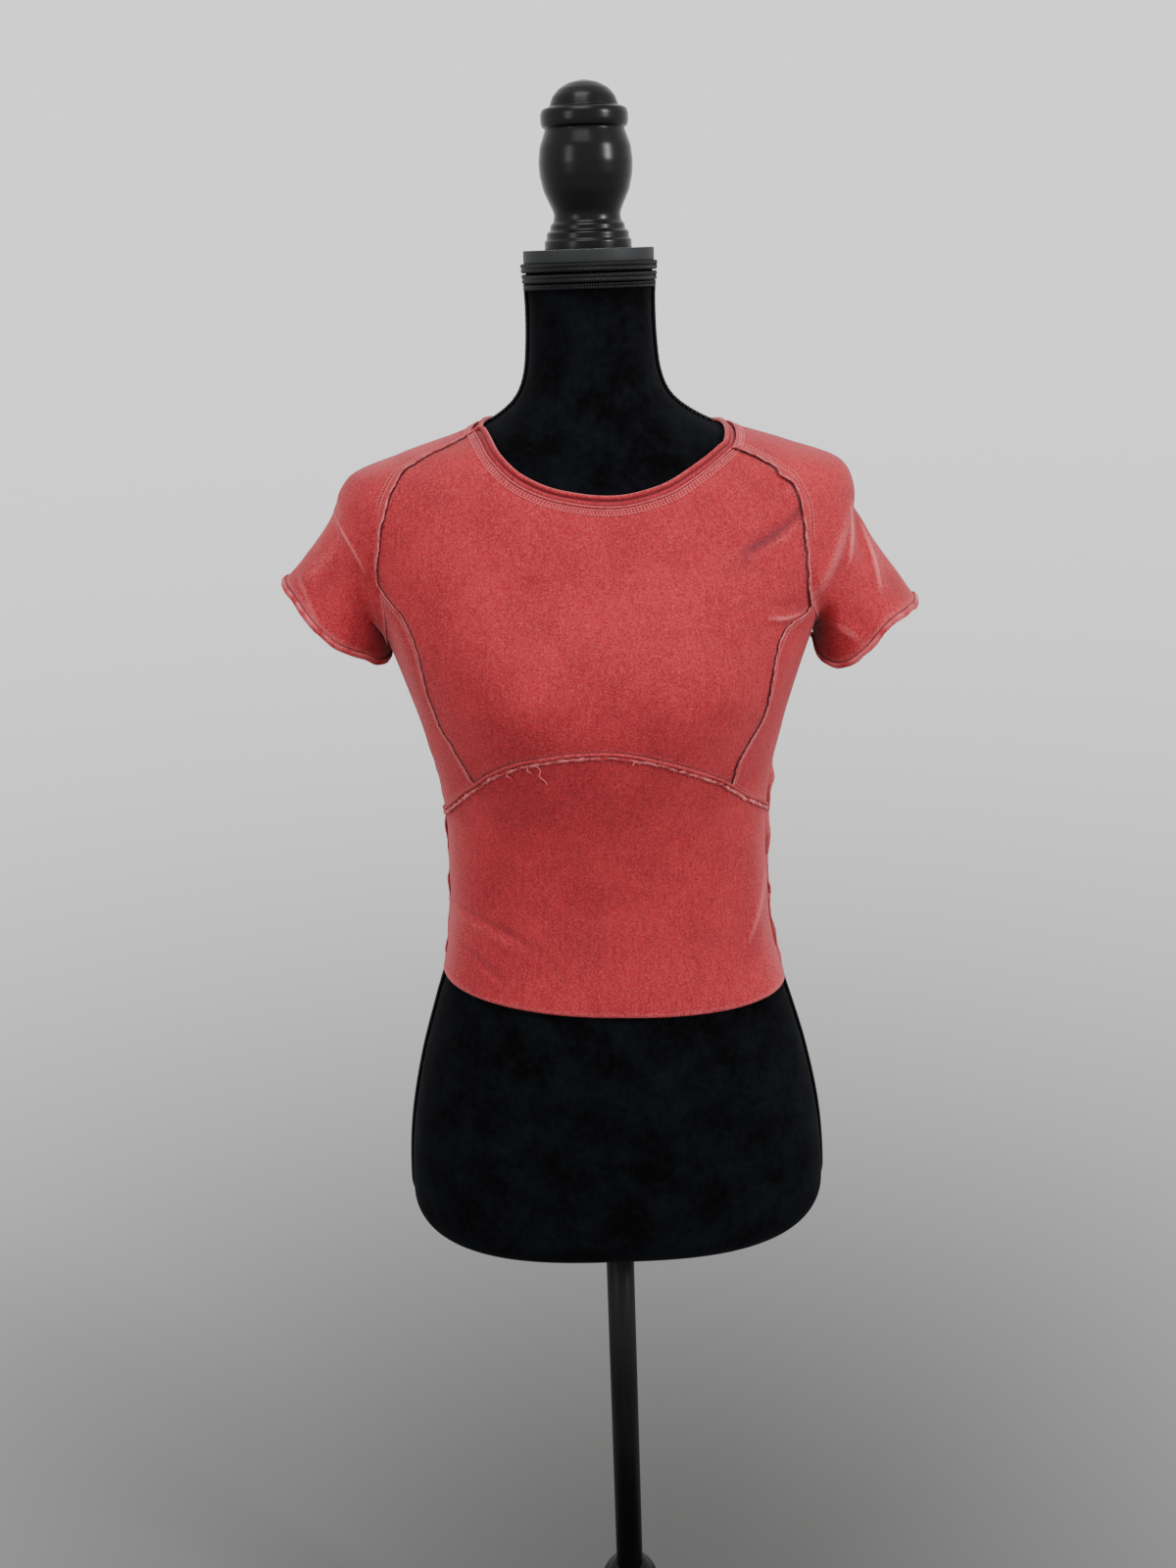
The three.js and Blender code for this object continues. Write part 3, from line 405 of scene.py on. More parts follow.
class Finish:
    def __init__(self, name, settings):
        self.material = bpy.data.materials.new(name)
        self.material.use_nodes = True
        self.tree = self.material.node_tree
        self.shader = self.tree.nodes["Principled BSDF"]
        for socket, value in settings.items():
            self.shader.inputs[socket].default_value = value
        place = self.tree.nodes.new("ShaderNodeTexCoord")
        self.place = Value(self, place.outputs["Object"])

    def node(self, kind, settings=None, inputs=None, out=0):
        made = self.tree.nodes.new(kind)
        for name, value in (settings or {}).items():
            if name == "stops":
                for stop, (at, colour) in zip(made.color_ramp.elements, value):
                    stop.position, stop.color = at, (*colour, 1)
            else:
                setattr(made, name, value)
        for name, value in (inputs or {}).items():
            if isinstance(value, Value):
                self.tree.links.new(value.link, made.inputs[name])
            else:
                made.inputs[name].default_value = value
        return Value(self, made.outputs[out])

    def noise(self, size, detail=2.0, rough=0.5, place=None):  # size is in millimetres
        inputs = {"Vector": place or self.place, "Scale": 1 / (size * mm), "Detail": detail,
                  "Roughness": rough}
        return self.node("ShaderNodeTexNoise", {}, inputs)

    def stretched(self, x, y, z):
        return self.node("ShaderNodeVectorMath", {"operation": "MULTIPLY"}, {0: self.place, 1: (x, y, z)})

    def mark(self, name):
        return self.node("ShaderNodeAttribute", {"attribute_name": name}, {}, "Fac")

    def mix(self, amount, low, high):
        low, high = (c if isinstance(c, Value) else (*c, 1) for c in (low, high))
        return self.node("ShaderNodeMix", {"data_type": "RGBA"}, {0: amount, 6: low, 7: high}, 2)

    def spread(self, value, low, high):  # the share of the way from low to high, kept between 0 and 1
        return self.node("ShaderNodeMapRange", {}, {"Value": value, "From Min": low, "From Max": high})

    def use(self, socket, value):
        self.tree.links.new(value.link, self.shader.inputs[socket])

    def bump(self, height, depth):  # depth is in millimetres
        sockets = {"Height": height, "Strength": 1.0, "Distance": depth * mm}
        self.use("Normal", self.node("ShaderNodeBump", {}, sockets))


# Jersey: mottling sizes in millimetres; how far dye faded by wear and painted sheen pale it, painted shade
# darkens it
jerseyGrain = {"heather": 1.5, "cloud": 42, "streak": 2.6, "nap": 1.0, "pills": 0.9, "paling": 0.8,
               "darkening": 0.7, "depth": 0.5}


def jerseyFinish(name, colours, paleShare):
    look = Finish(name, {"Specular IOR Level": 0.12, "Sheen Weight": 0.20, "Sheen Roughness": 0.38,
                         "Sheen Tint": (1.0, 0.60, 0.62, 1)})
    grain = jerseyGrain
    heather = look.noise(grain["heather"], 3, 0.75)
    cloud = look.noise(grain["cloud"], 3, 0.55)
    streak = look.noise(grain["streak"], 2, 0.6, look.stretched(1, 1, 0.2))
    shade = look.spread(heather * 0.62 + cloud * 0.20 + streak * 0.18, 0.425, 0.59)
    base = look.mix(shade, colours["deep"], colours["main"])
    nap = look.spread(look.noise(grain["nap"], 2, 0.7), 0.52, 0.70) * 0.30
    # paled where it wears and where painted sheen is marked
    paled = look.spread(look.mark("wear") + (heather - 0.5) * 0.9, 0.12, 1.05)
    base = look.mix(paled * grain["paling"] + nap + paleShare, base, colours["pale"])
    # painted shade: darker where the shade mark lies, in troughs, grooves and hollows
    shaded = look.spread(look.mark("shade"), 0.0, 1.0)
    base = look.mix(shaded * grain["darkening"], base, colours["dark"])
    look.use("Base Color", base)
    look.use("Roughness", 0.88 + heather * 0.1)
    pills = look.noise(grain["pills"], 1, 0.5)
    look.bump(heather * 0.6 + pills * 0.6 + streak * 0.3, grain["depth"])
    return look.material


def velourFinish():
    look = Finish("velour", {"Roughness": 1.0, "Specular IOR Level": 0.04, "Sheen Weight": 0.012,
                             "Sheen Roughness": 0.35, "Sheen Tint": (0.75, 0.8, 1.0, 1)})
    brushed = look.spread(look.noise(30, 4, 0.6) * 0.7 + look.noise(5, 2, 0.6) * 0.3, 0.38, 0.66)
    look.use("Base Color", look.mix(brushed, (0.0006, 0.0006, 0.0007), (0.0032, 0.0035, 0.0050)))
    look.bump(look.noise(0.6, 2, 0.6), 0.12)
    return look.material


def braidFinish():
    look = Finish("braid", {"Roughness": 0.36, "Specular IOR Level": 0.15})
    thread = look.noise(0.7, 2, 0.6)
    look.use("Base Color", look.mix(thread, (0.001, 0.001, 0.001), (0.004, 0.004, 0.0045)))
    look.bump(thread, 0.15)
    return look.material


def satinFinish():
    look = Finish("satin", {"Specular IOR Level": 0.22})
    weave = look.noise(1.4, 2, 0.5, look.stretched(1, 1, 4))
    look.use("Base Color", look.mix(weave, (0.005, 0.0055, 0.006), (0.014, 0.015, 0.016)))
    look.use("Roughness", 0.45 + weave * 0.25)
    look.bump(weave, 0.05)
    return look.material


def lacquerFinish():
    look = Finish("lacquer", {"Specular IOR Level": 0.15})
    grain = look.noise(5, 3, 0.6, look.stretched(1, 1, 0.2))
    dust = look.spread(look.noise(1.1, 2, 0.7), 0.66, 0.78)
    look.use("Base Color", look.mix(dust * 0.35, (0.0016, 0.0016, 0.0017), (0.03, 0.03, 0.03)))
    look.use("Roughness", 0.22 + grain * 0.1 + dust * 0.3)
    look.bump(grain, 0.03)
    return look.material


def poleFinish():
    look = Finish("poleMetal", {"Specular IOR Level": 0.12})
    drawn = look.noise(3, 2, 0.5, look.stretched(1, 1, 0.03))
    look.use("Base Color", look.mix(drawn, (0.002, 0.002, 0.002), (0.006, 0.006, 0.007)))
    look.use("Roughness", 0.28 + drawn * 0.2)
    look.bump(drawn, 0.03)
    return look.material


# the dark colour is for painted shade
jerseyColours = {"deep": (0.185, 0.011, 0.016), "main": (0.325, 0.020, 0.027),
                 "pale": (0.480, 0.120, 0.128), "dark": (0.055, 0.018, 0.026)}
jersey = jerseyFinish("jersey", jerseyColours, 0.0)
edgeJersey = jerseyFinish("edgeJersey", jerseyColours, 0.03)
threadJersey = jerseyFinish("threadJersey", jerseyColours, 0.45)
velour, braid, satin = velourFinish(), braidFinish(), satinFinish()
lacquer, poleMetal = lacquerFinish(), poleFinish()
print("finishes mixed")


# Panels of jersey between four edges
def panelGrid(bottom, top, left, right, rows, columns):
    bottom, top = (evenly(line, columns) for line in (bottom, top))
    left, right = (evenly(line, rows) for line in (left, right))
    v = np.linspace(0, 1, rows + 1)[:, None, None]
    u = np.linspace(0, 1, columns + 1)[None, :, None]
    grid = left[:, None] * (1 - u) + right[:, None] * u + bottom[None] * (1 - v) + top[None] * v
    grid -= (1 - u) * (1 - v) * bottom[0] + u * (1 - v) * bottom[-1] + (
        1 - u) * v * top[0] + u * v * top[-1]
    return grid


def wearOf(grid, reach=9.0):  # 1 at the edges of a panel, nothing further in
    steps = [np.linalg.norm(np.diff(grid, axis=a, prepend=grid.take([0], a)), axis=-1) for a in (0, 1)]
    down, over = (np.cumsum(step, a) for a, step in enumerate(steps))
    away = np.minimum.reduce([down, down[-1:] - down, over, over[:, -1:] - over])
    return np.exp(-((away / reach) ** 2))


def lengthToEnd(grid):  # how far each point is from its column's last row, along the cloth
    steps = np.linalg.norm(np.diff(grid[::-1], axis=0, prepend=grid[-1:]), axis=-1)
    return np.cumsum(steps, 0)[::-1]


def marksOf(grid, reach, weight, groove=0.25):  # worn pale; painted shade in creases and seam grooves
    x, z = grid[..., 0], grid[..., 2]
    front = grid[..., 1] < 20
    half = hermite(formRows[:, 0], formRows[:, 1:2], z)[..., 0]
    aside = np.clip(np.abs(x) / half / 0.22 - 3.6, 0, 1) ** 2 * (z < 880)  # painted sheen: the waist is paler at its sides
    wear = wearOf(grid, reach) * weight + ridgeSum(x, z, wornLines) * front + 0.30 * aside
    # painted shade in crease troughs and in the grooves beside the seams
    shade = ridgeSum(x, z, darkLines) * front + groove * wearOf(grid, 1.9)
    return {"wear": wear, "shade": shade}


rollShadow = {"depth": 0.6, "away": 5.6, "width": 1.1}  # under the underbust seam's lower roll


def addPanel(name, edges, size, groove=0.25):
    grid = panelGrid(*edges, *size)
    outer = dress(grid, cloth["outer"])
    marks = marksOf(grid, 3.5, 0.35, groove)
    if name == "front_waist":
        reach = (lengthToEnd(grid) - rollShadow["away"]) / rollShadow["width"]
        marks["shade"] = marks["shade"] + rollShadow["depth"] * np.exp(-(reach**2))
    piece = makeShell(name + "_cloth", outer, normalsAt(outer), cloth["thick"], jersey, marks=marks)
    finish(piece, name, "jersey")


def chain(*lines):
    return np.concatenate([lines[0]] + [line[1:] for line in lines[1:]])


def makePanels():
    s = seams
    flip = lambda key: s[key][::-1]
    addPanel("front_bodice", (
        s["underFront"], s["neckFront"],
        chain(flip(("princess", "left")), flip(("raglanFront", "left"))),
        chain(flip(("princess", "right")), flip(("raglanFront", "right"))),
    ), (140, 160), 0.75)
    for side in sides:
        name = f"side_front_{side}"
        outerEdge = chain(flip(("sideHigh", side)), flip(("armholeFront", side)))
        innerEdge = flip(("princess", side))
        left, right = (outerEdge, innerEdge) if side == "left" else (innerEdge, outerEdge)
        left, right = evenly(left, 200, 0, 0.985), evenly(right, 200, 0, 0.985)
        top = np.linspace(left[-1], right[-1], 30)
        bottom = s["underLeft"] if side == "left" else s["underRight"]
        addPanel(name, (bottom, top, left, right), (120, 44))
    addPanel("front_waist", (
        hemLine(180, 0), chain(s["underLeft"], s["underFront"], s["underRight"]),
        flip(("sideLow", "left")), flip(("sideLow", "right")),
    ), (100, 170))
    edges = [chain(*(flip((part, side)) for part in ("sideLow", "sideHigh", "armholeBack", "raglanBack")))
             for side in sides]
    addPanel("back_panel", (hemLine(180, 360), s["neckBack"], *edges), (160, 136))


makePanels()
print("panels cut")

# Sleeves: rows counted down the seam, 0 at the neckband, 10 at the armhole's corner, 14 at the armpit
# and 18 at the hem
sleeveRows = np.array([
    # row, share of the ridge line, fullness to front and back, arch 0 to ring 1, hold to the form,
    # least height
    (0, 0, 0, 0, 1, 3.7), (6, 0.42, 0, 0, 1, 3.7), (8, 0.54, 1, 0.1, 0.5, 3.7),
    (10, 0.66, 4, 0.2, 0, 3.7), (12, 0.77, 22, 0.55, 0, 5.5), (14, 0.87, 48, 1, 0, 5.5),
    (18, 1, 51, 1, 0, 5.5),
], float)
raglanEnd, armpitRow, hemRow = 10, 14, 18
sleeveShape = {
    "left": {
        "ridge": [(-84, 1064.4), (-92, 1061), (-117, 1051.6), (-148, 1042), (-171, 1033),
                  (-182, 1023), (-186, 1012), (-191, 1002), (-198, 992), (-207, 981),
                  (-216, 970.5), (-227, 959.5)],
        "underarm": [(-153, 910), (-155.5, 902)], "dip": 2,
        # how far the hem rises, by the angle from the front seam over the ridge to the back seam
        "hem": [(0, -1), (0.3, -3), (0.45, -2), (0.6, -3), (0.75, -4.5), (0.9, -3), (1.05, 0.5),
                (1.2, 3), (1.57, 0), (2.2, 2), (2.8, -2), (3.1416, -1)],
    },
    "right": {
        "ridge": [(97, 1058), (106, 1054), (125, 1048.5), (145, 1042), (172, 1031.5), (181, 1020),
                  (183, 1010), (185.5, 999), (191, 989), (197, 978), (204, 967), (211.5, 956),
                  (220, 945), (229.5, 932)],
        "underarm": [(156, 915), (157, 906)], "dip": 12,
        "hem": [(0, -2), (0.08, -7), (0.16, -11), (0.3, -13), (0.45, -12), (0.6, -7), (0.75, 2),
                (0.9, 10), (1.05, 10), (1.2, 6), (1.35, 1), (1.57, 0), (1.9, -3), (2.3, 4),
                (2.75, -4), (3.1416, -2)],
    },
}


def pointOn(line, share):
    return evenly(line, 400)[np.clip(np.round(share * 400).astype(int), 0, 400)]


def sleeveGrid(side, rows=144, columns=126):
    shape = sleeveShape[side]
    i = np.linspace(0, hemRow, rows + 1)
    j = np.linspace(0, np.pi, columns + 1)
    row = hermite(sleeveRows[:, 0], sleeveRows[:, 1:], i)
    share, bulge, rounded, hug, lift = (row[:, k, None] for k in range(5))
    ridge = smoothLine([(x, 2, z) for x, z in shape["ridge"]], 600)
    edges = []
    for face in ("Front", "Back"):
        top = pointOn(seams["raglan" + face, side], np.clip(i / raglanEnd, 0, 1))
        down = np.clip((i - raglanEnd) / (armpitRow - raglanEnd), 0, 1)
        low = pointOn(seams["armhole" + face, side], down)
        edges.append(np.where((i <= raglanEnd)[:, None], top, low))
    armpit = (edges[0][-1] + edges[1][-1]) / 2
    underarm = smoothLine([armpit, *[(x, 0, z) for x, z in shape["underarm"]]], 100)
    past = np.clip((i - armpitRow) / (hemRow - armpitRow), 0, 1)
    for edge in edges:
        edge[i > armpitRow] = pointOn(underarm, past[i > armpitRow])
    start, end = edges
    middle, half = (start + end) / 2, (end - start) / 2
    up = pointOn(ridge, share[:, 0]) - middle
    rise = (1 - rounded) * np.sin(j) + rounded * np.sin(j) ** 2
    p = middle[:, None] - half[:, None] * np.cos(j)[None, :, None] + up[:, None] * rise[..., None]
    p[..., 1] -= bulge * np.sin(2 * j)
    p[..., 2] -= shape["dip"] * past[:, None] * np.sin(2 * j) ** 2
    hem = np.array(shape["hem"], float)
    p[..., 2] += hermite(hem[:, 0], hem[:, 1:], j)[:, 0] * past[:, None] ** 2
    atEdge = np.minimum(np.arange(columns + 1), np.arange(columns + 1)[::-1])
    hold = np.maximum(hug, np.exp(-((atEdge / 6.0) ** 2)) * (i[:, None] < armpitRow))
    height = lift + np.zeros_like(rise)
    p = p + (settle(p, height) - p) * np.clip(hold, 0, 1)[..., None]
    p = drawStraight(p, i, j)
    x, z = p[..., 0], np.where(p[..., 1] < 0, p[..., 2], p[..., 2] + 8)
    folds = ridgeSum(x, z, sleeveCreases) * np.clip(i[:, None] / 6 - 0.3, 0, 1) + 0.5 * softWaves(p, 11)
    fade = np.clip(atEdge / 12, 0, 1) * np.clip(i[:, None] / 2, 0, 1)
    p += gridOut(p, side) * (folds * fade)[..., None]
    low = heightOver(p) < height
    return np.where(low[..., None], settle(p, height), p)


def drawStraight(p, i, j):  # a sleeve's front and back hang straight from the armhole's corner
    corner = int(np.searchsorted(i, raglanEnd))
    down = np.clip((i - i[corner]) / (hemRow - i[corner]), 0, 1)[:, None, None]
    line = p[corner] * (1 - down) + p[-1] * down
    inset = np.clip(np.minimum(j, np.pi - j) / 0.5, 0, 1)
    amount = inset**2 * (3 - 2 * inset) * (1 - np.exp(-(((j - np.pi / 2) / 0.35) ** 2)))
    amount = amount[None, :, None] * (down > 0)
    return p * (1 - amount) + line * amount


def gridOut(grid, side):  # outward normals of a sleeve
    normals = gridNormals(grid)
    middle = len(normals) // 2
    top = normals[middle, normals.shape[1] // 2]
    outward = top[2] * 0.5 + top[0] * (-1 if side == "left" else 1)
    return normals if outward > 0 else -normals


sleeveShade = {"hem": 0.9, "hemAway": 0.5, "hemWidth": 1.1, "hollow": {"left": 0.25, "right": 0.0},
               "hollowWidth": 24}


def makeSleeve(side):
    grid = sleeveGrid(side)
    normals = gridOut(grid, side)
    onForm = np.exp(-np.maximum(heightOver(grid) - 4.2, 0) / 0.8)[..., None]
    normals = unit(normals * (1 - onForm) + normalsAt(grid) * onForm)
    name = f"sleeve_{side}"
    marks = marksOf(grid, 5, 0.5)
    toHem = (lengthToEnd(grid) - sleeveShade["hemAway"]) / sleeveShade["hemWidth"]
    toArmpit = np.linalg.norm(grid - grid[int(len(grid) * armpitRow / hemRow), 0], axis=-1)
    hollow = sleeveShade["hollow"][side] * np.exp(-((toArmpit / sleeveShade["hollowWidth"]) ** 2))
    marks["shade"] = marks["shade"] + sleeveShade["hem"] * np.exp(-(toHem**2)) + hollow
    piece = makeShell(name + "_cloth", grid, normals, cloth["thick"], jersey, marks=marks)
    finish(piece, name, "jersey")
    return piece, grid, normals


sleeves = {side: makeSleeve(side) for side in sides}
print("sleeves set in")


# Rolled edges, cords and threads: a small closed section swept along a line
def frameOf(line, ups, ring=False):
    along = (np.roll(line, -1, 0) - np.roll(line, 1, 0)) if ring else np.gradient(line, axis=0)
    along = unit(along)
    ups = unit(ups - along * (ups * along).sum(-1, keepdims=True))
    return along, unit(np.cross(along, ups)), ups


def sweep(line, ups, section, ring=False, shift=None, scale=None):
    # the section's columns are across, up and, where it has a third, how much it follows the shift
    along, across, ups = frameOf(line, ups, ring)
    section = np.asarray(section, float)
    loose = section[:, 2] if section.shape[1] > 2 else np.ones(len(section))
    n, m = len(line), len(section)
    scale = np.ones(n) if scale is None else scale
    shift = np.zeros((n, 2)) if shift is None else shift
    flat = section[:, None, :2] * scale[None, :, None] + shift[None] * loose[:, None, None]
    points = line[None] + across[None] * flat[..., :1] + ups[None] * flat[..., 1:]
    order = np.arange(m * n).reshape(m, n)
    faces = gridQuads(m, n, ring).tolist() + bridge(order[-1], order[0], ring).tolist()
    if not ring:
        faces += [order[::-1, 0].tolist(), order[:, -1].tolist()]
    return points.reshape(-1, 3), faces


def oval(width, height, count=10, lift=0.0, power=1.0):
    a = np.linspace(0, 2 * np.pi, count, endpoint=False)
    over, up = (np.sign(c) * np.abs(c) ** power for c in (np.cos(a), np.sin(a)))
    return np.stack([width / 2 * over, lift + height / 2 * up], -1)


class Bundle:  # many small bodies in one mesh
    def __init__(self):
        self.points, self.faces, self.wear, self.count = [], [], [], 0

    def add(self, points, faces, wear=1.0):
        points = np.asarray(points).reshape(-1, 3)
        self.points.append(points)
        self.wear.append(np.broadcast_to(wear, len(points)))
        self.faces += [[k + self.count for k in face] for face in faces]
        self.count += len(points)

    def make(self, name, material):
        marks = {"wear": np.concatenate(self.wear)}
        return makeMesh(name, np.concatenate(self.points), self.faces, material, marks)


def wander(count, size, amount, draw):  # a smooth random line of offsets
    knots = max(4, int(count / size))
    values = draw.normal(size=knots + 3) * amount
    at = np.linspace(0, knots + 2, count)
    return hermite(np.arange(knots + 3, dtype=float), values[:, None], at)[:, 0]


def offsetLine(line, ups, side, height):  # a line beside a seam, at its own height over the cloth
    _, across, ups = frameOf(line, ups)
    return line + across * np.asarray(side)[..., None] + ups * np.asarray(height)[..., None]


def sideOf(line, ups, target):  # which way across a seam leads to a point: 1 or -1
    _, across, _ = frameOf(line, ups)
    return 1.0 if (across * (np.asarray(target, float) - line)).sum() > 0 else -1.0


def addStitches(bundle, line, ups, pitch=2.6, length=2.0, width=0.42, height=0.3, slant=0.0):
    total = np.linalg.norm(np.diff(line, axis=0), axis=1).sum()
    count = max(2, int(total / pitch))
    centres = evenly(line, count)
    at, known = np.linspace(0, 1, count + 1), np.linspace(0, 1, len(ups))
    normals = unit(np.stack([np.interp(at, known, ups[:, k]) for k in range(3)], -1))
    along, across, up = frameOf(centres, normals)
    shape = np.array([(-0.5, 0.35), (-0.3, 0.95), (0, 1.1), (0.3, 0.95), (0.5, 0.35)])
    angle = np.linspace(0, 2 * np.pi, 6, endpoint=False)
    for k in range(count + 1):
        lean = slant * (1 if k % 2 else -1)
        way, cross = along[k] + across[k] * lean, across[k]
        rings = [centres[k] + way * length * t + cross * width / 2 * r * np.cos(angle)[:, None]
                 + up[k] * height * r * (np.sin(angle)[:, None]) for t, r in shape]
        points = np.concatenate(rings)
        faces = gridQuads(5, 6, True).tolist() + [list(range(6))[::-1], list(range(24, 30))]
        bundle.add(points, faces)


# Loose ends along a raw edge
def addFibres(bundle, line, ups, count, length, draw, spread=0.7, radius=0.16):
    along, across, up = frameOf(line, ups)
    for k in draw.integers(2, len(line) - 2, count):
        aside, lift, drift = draw.normal(0.7, 0.5), draw.uniform(0.1, 0.9), draw.normal(0, 0.8)
        way = unit(across[k] * aside * spread + up[k] * lift + along[k] * drift)
        bend = unit(draw.normal(size=3)) * 0.5
        reach = length * draw.uniform(0.4, 1.2)
        t = np.array([0, 0.5, 1.0])[:, None]
        path = line[k] + way * reach * t + bend * reach * t**2 * 0.5
        taper = np.array([1, 0.8, 0.4])
        upward = np.repeat([up[k] + 0.01], 3, 0)
        bundle.add(*sweep(path, upward, oval(radius * 2, radius * 2, 3), scale=taper))


# A raw edge that laps over its neighbour: across the seam, height, how much it waves, wear
flap = np.array([
    (5.2, -0.4, 0.0, 0.0), (5.2, 0.05, 0.0, 0.0), (3.2, 0.45, 0.1, 0.0), (1.5, 0.85, 0.4, 0.0),
    (0.4, 1.30, 0.8, 0.2), (-0.4, 1.75, 1.0, 0.9), (-1.0, 1.80, 1.0, 1.1), (-1.4, 1.35, 1.0, 0.6),
    (-1.1, 0.90, 1.0, 0.1), (-0.2, 0.60, 0.9, 0.0), (1.5, 0.25, 0.4, 0.0), (3.2, -0.2, 0.1, 0.0),
], float)
rawEdges = {
    ("raglan", "left"): {"size": 1.0, "wave": 0.40, "lift": 0.25, "fibres": 150},
    ("raglan", "right"): {"size": 1.1, "wave": 0.95, "lift": 0.55, "fibres": 170},
    ("princess", "left"): {"size": 0.75, "wave": 0.25, "lift": 0.15, "fibres": 60},
    ("princess", "right"): {"size": 0.85, "wave": 0.40, "lift": 0.30, "fibres": 80},
}


edgeStep = 0.7  # between the points along a raw edge
edgeLift = 0.1  # of a seam's edge over the cloth


def makeRawEdge(node, line, target, shape, seed, stitchRows):
    draw = np.random.default_rng(seed)
    count = int(np.linalg.norm(np.diff(line, axis=0), axis=1).sum() / edgeStep)
    line = dress(evenly(line, count), cloth["outer"] + edgeLift)
    ups = normalsAt(line)
    n = len(line)
    out = sideOf(line, ups, target)
    waves = wander(n, 13, shape["wave"], draw) + wander(n, 3.5, 0.20, draw) + wander(n, 1.6, 0.09, draw)
    rise = np.abs(wander(n, 15, shape["lift"], draw)) + np.abs(wander(n, 3.5, 0.18, draw))
    rubbed = np.clip(0.72 + wander(n, 4, 0.30, draw), 0.1, 1.4)
    section = flap[:, :3] * np.array([out * shape["size"], shape["size"], 1.0])
    bundle = Bundle()
    points, faces = sweep(line, ups, section, shift=np.stack([out * waves, rise], -1))
    bundle.add(points, faces, (flap[:, 3][:, None] * rubbed[None]).ravel())
    edge = offsetLine(line, ups, out * (waves - 0.9 * shape["size"]), rise + 1.4 * shape["size"])
    addFibres(bundle, edge, ups, shape["fibres"], 1.3, draw, spread=-out * 0.7)
    finish(bundle.make(node + "_edge", edgeJersey), node, "rolled_edge")
    stitched = Bundle()
    for away in stitchRows:
        _, across, _ = frameOf(line, ups)
        row = dress(line + across * out * away, cloth["outer"] + edgeLift)[6:-6]
        addStitches(stitched, row, normalsAt(row), 2.4, 2.0, 0.6, 0.35)
    finish(stitched.make(node + "_stitching", threadJersey), None, "rolled_edge")


def makeSeamEdges():
    for k, side in enumerate(sides):
        away = -1 if side == "left" else 1
        for face, y in (("Front", -30), ("Back", 30)):
            line, outside = seams["raglan" + face, side], (away * 210, y, 1000)
            makeRawEdge(f"raglan_{face.lower()}_{side}", line, outside, rawEdges["raglan", side],
                        20 + 2 * k + (y > 0), (5.2, 8.0))
        makeRawEdge(f"princess_{side}", seams["princess", side], (away * 170, 0, 870),
                    rawEdges["princess", side], 31 + k, (4.4,))


makeSeamEdges()
print("raw edges rolled")

doubleRoll = {"upper": 2.6, "upperHigh": 2.2, "upperWear": 0.12, "lower": 2.4, "lowerHigh": 1.5,
              "lowerSides": 12, "apart": 3.7, "fibres": 260}


def makeUnderbust():
    draw = np.random.default_rng(41)
    line = dress(evenly(seams["underWhole"], 520), cloth["outer"] + edgeLift)
    ups = normalsAt(line)
    n = len(line)
    _, across, _ = frameOf(line, ups)
    down = -1.0 if across[n // 2][2] > 0 else 1.0  # the way across the seam that leads down
    shape = doubleRoll
    bundle = Bundle()
    upperShift = np.stack([down * (0.6 + wander(n, 30, 0.18, draw)), np.full(n, 0.75)], -1)
    upperScale = 1 + wander(n, 16, 0.06, draw)
    upperRoll = oval(shape["upper"], shape["upperHigh"], 14)
    bundle.add(*sweep(line, ups, upperRoll, shift=upperShift, scale=upperScale), shape["upperWear"])
    waves = shape["apart"] + wander(n, 9, 0.32, draw) + wander(n, 3, 0.20, draw)
    waves = waves + wander(n, 1.5, 0.14, draw)
    rubbed = np.clip(0.55 + wander(n, 5, 0.35, draw), 0.0, 1.3)
    lowerShift = np.stack([down * waves, 0.55 + np.abs(wander(n, 10, 0.22, draw))], -1)
    lowerScale = 1 + wander(n, 4, 0.16, draw) + wander(n, 1.5, 0.08, draw)
    lowerRoll = oval(shape["lower"], shape["lowerHigh"], shape["lowerSides"], 0, 0.8)
    points, faces = sweep(line, ups, lowerRoll, shift=lowerShift, scale=lowerScale)
    bundle.add(points, faces, np.tile(rubbed, shape["lowerSides"]))
    edge = offsetLine(line, ups, down * (waves + 1.0), np.full(n, 0.7))
    addFibres(bundle, edge, ups, shape["fibres"], 1.3, draw, spread=down * 0.9)
    finish(bundle.make("underbust_edge", edgeJersey), "underbust_seam", "rolled_edge")
    makeStrays(line, ups, across * down)


strays = [
    # x where it hangs, length, drift to the right, curl
    (-48.5, 18, 0.5, 1.3), (-56, 5, 0.5, 0.6), (-71, 4, 0.5, 0.5), (20, 3, -1, 0.4),
]


def makeStrays(line, ups, down):  # the curly thread and three short ones that hang from the seam
    bundle = Bundle()
    for x, length, drift, curl in strays:
        k = int(np.argmin(np.abs(line[:, 0] - x)))
        t = np.linspace(0, 1, 40)
        start = line[k] + down[k] * 4.2 + ups[k] * 1.0
        aside = drift * t**1.5 + curl * np.sin(9 * t)
        path = start + down[k] * (length * t)[:, None] + np.array([1.0, 0, 0]) * aside[:, None]
        path = settle(path, cloth["outer"] + 1.0 + 1.2 * np.sin(np.pi * t) + 0.4 * np.cos(14 * t))
        bundle.add(*sweep(path, normalsAt(path), oval(0.55, 0.55, 6)))
    finish(bundle.make("loose_threads", threadJersey), None, "rolled_edge")


makeUnderbust()
print("underbust seam rolled")

ruffleShape = {"stand": {"left": 1.6, "right": 2.2}, "thick": 1.0, "points": 330, "fibres": 120}
ruffle = {
    # z, spread and height of each place that stands out further than the rest
    "left": [(790, 10, 0.5), (742, 18, 0.2), (690, 16, 0.4), (860, 20, 0.2)],
    "right": [(795, 8, 3.6), (776, 16, 1.8), (749, 13, 3.0), (705, 10, 1.6), (671, 9, 1.8), (850, 16, 0.4)],
}


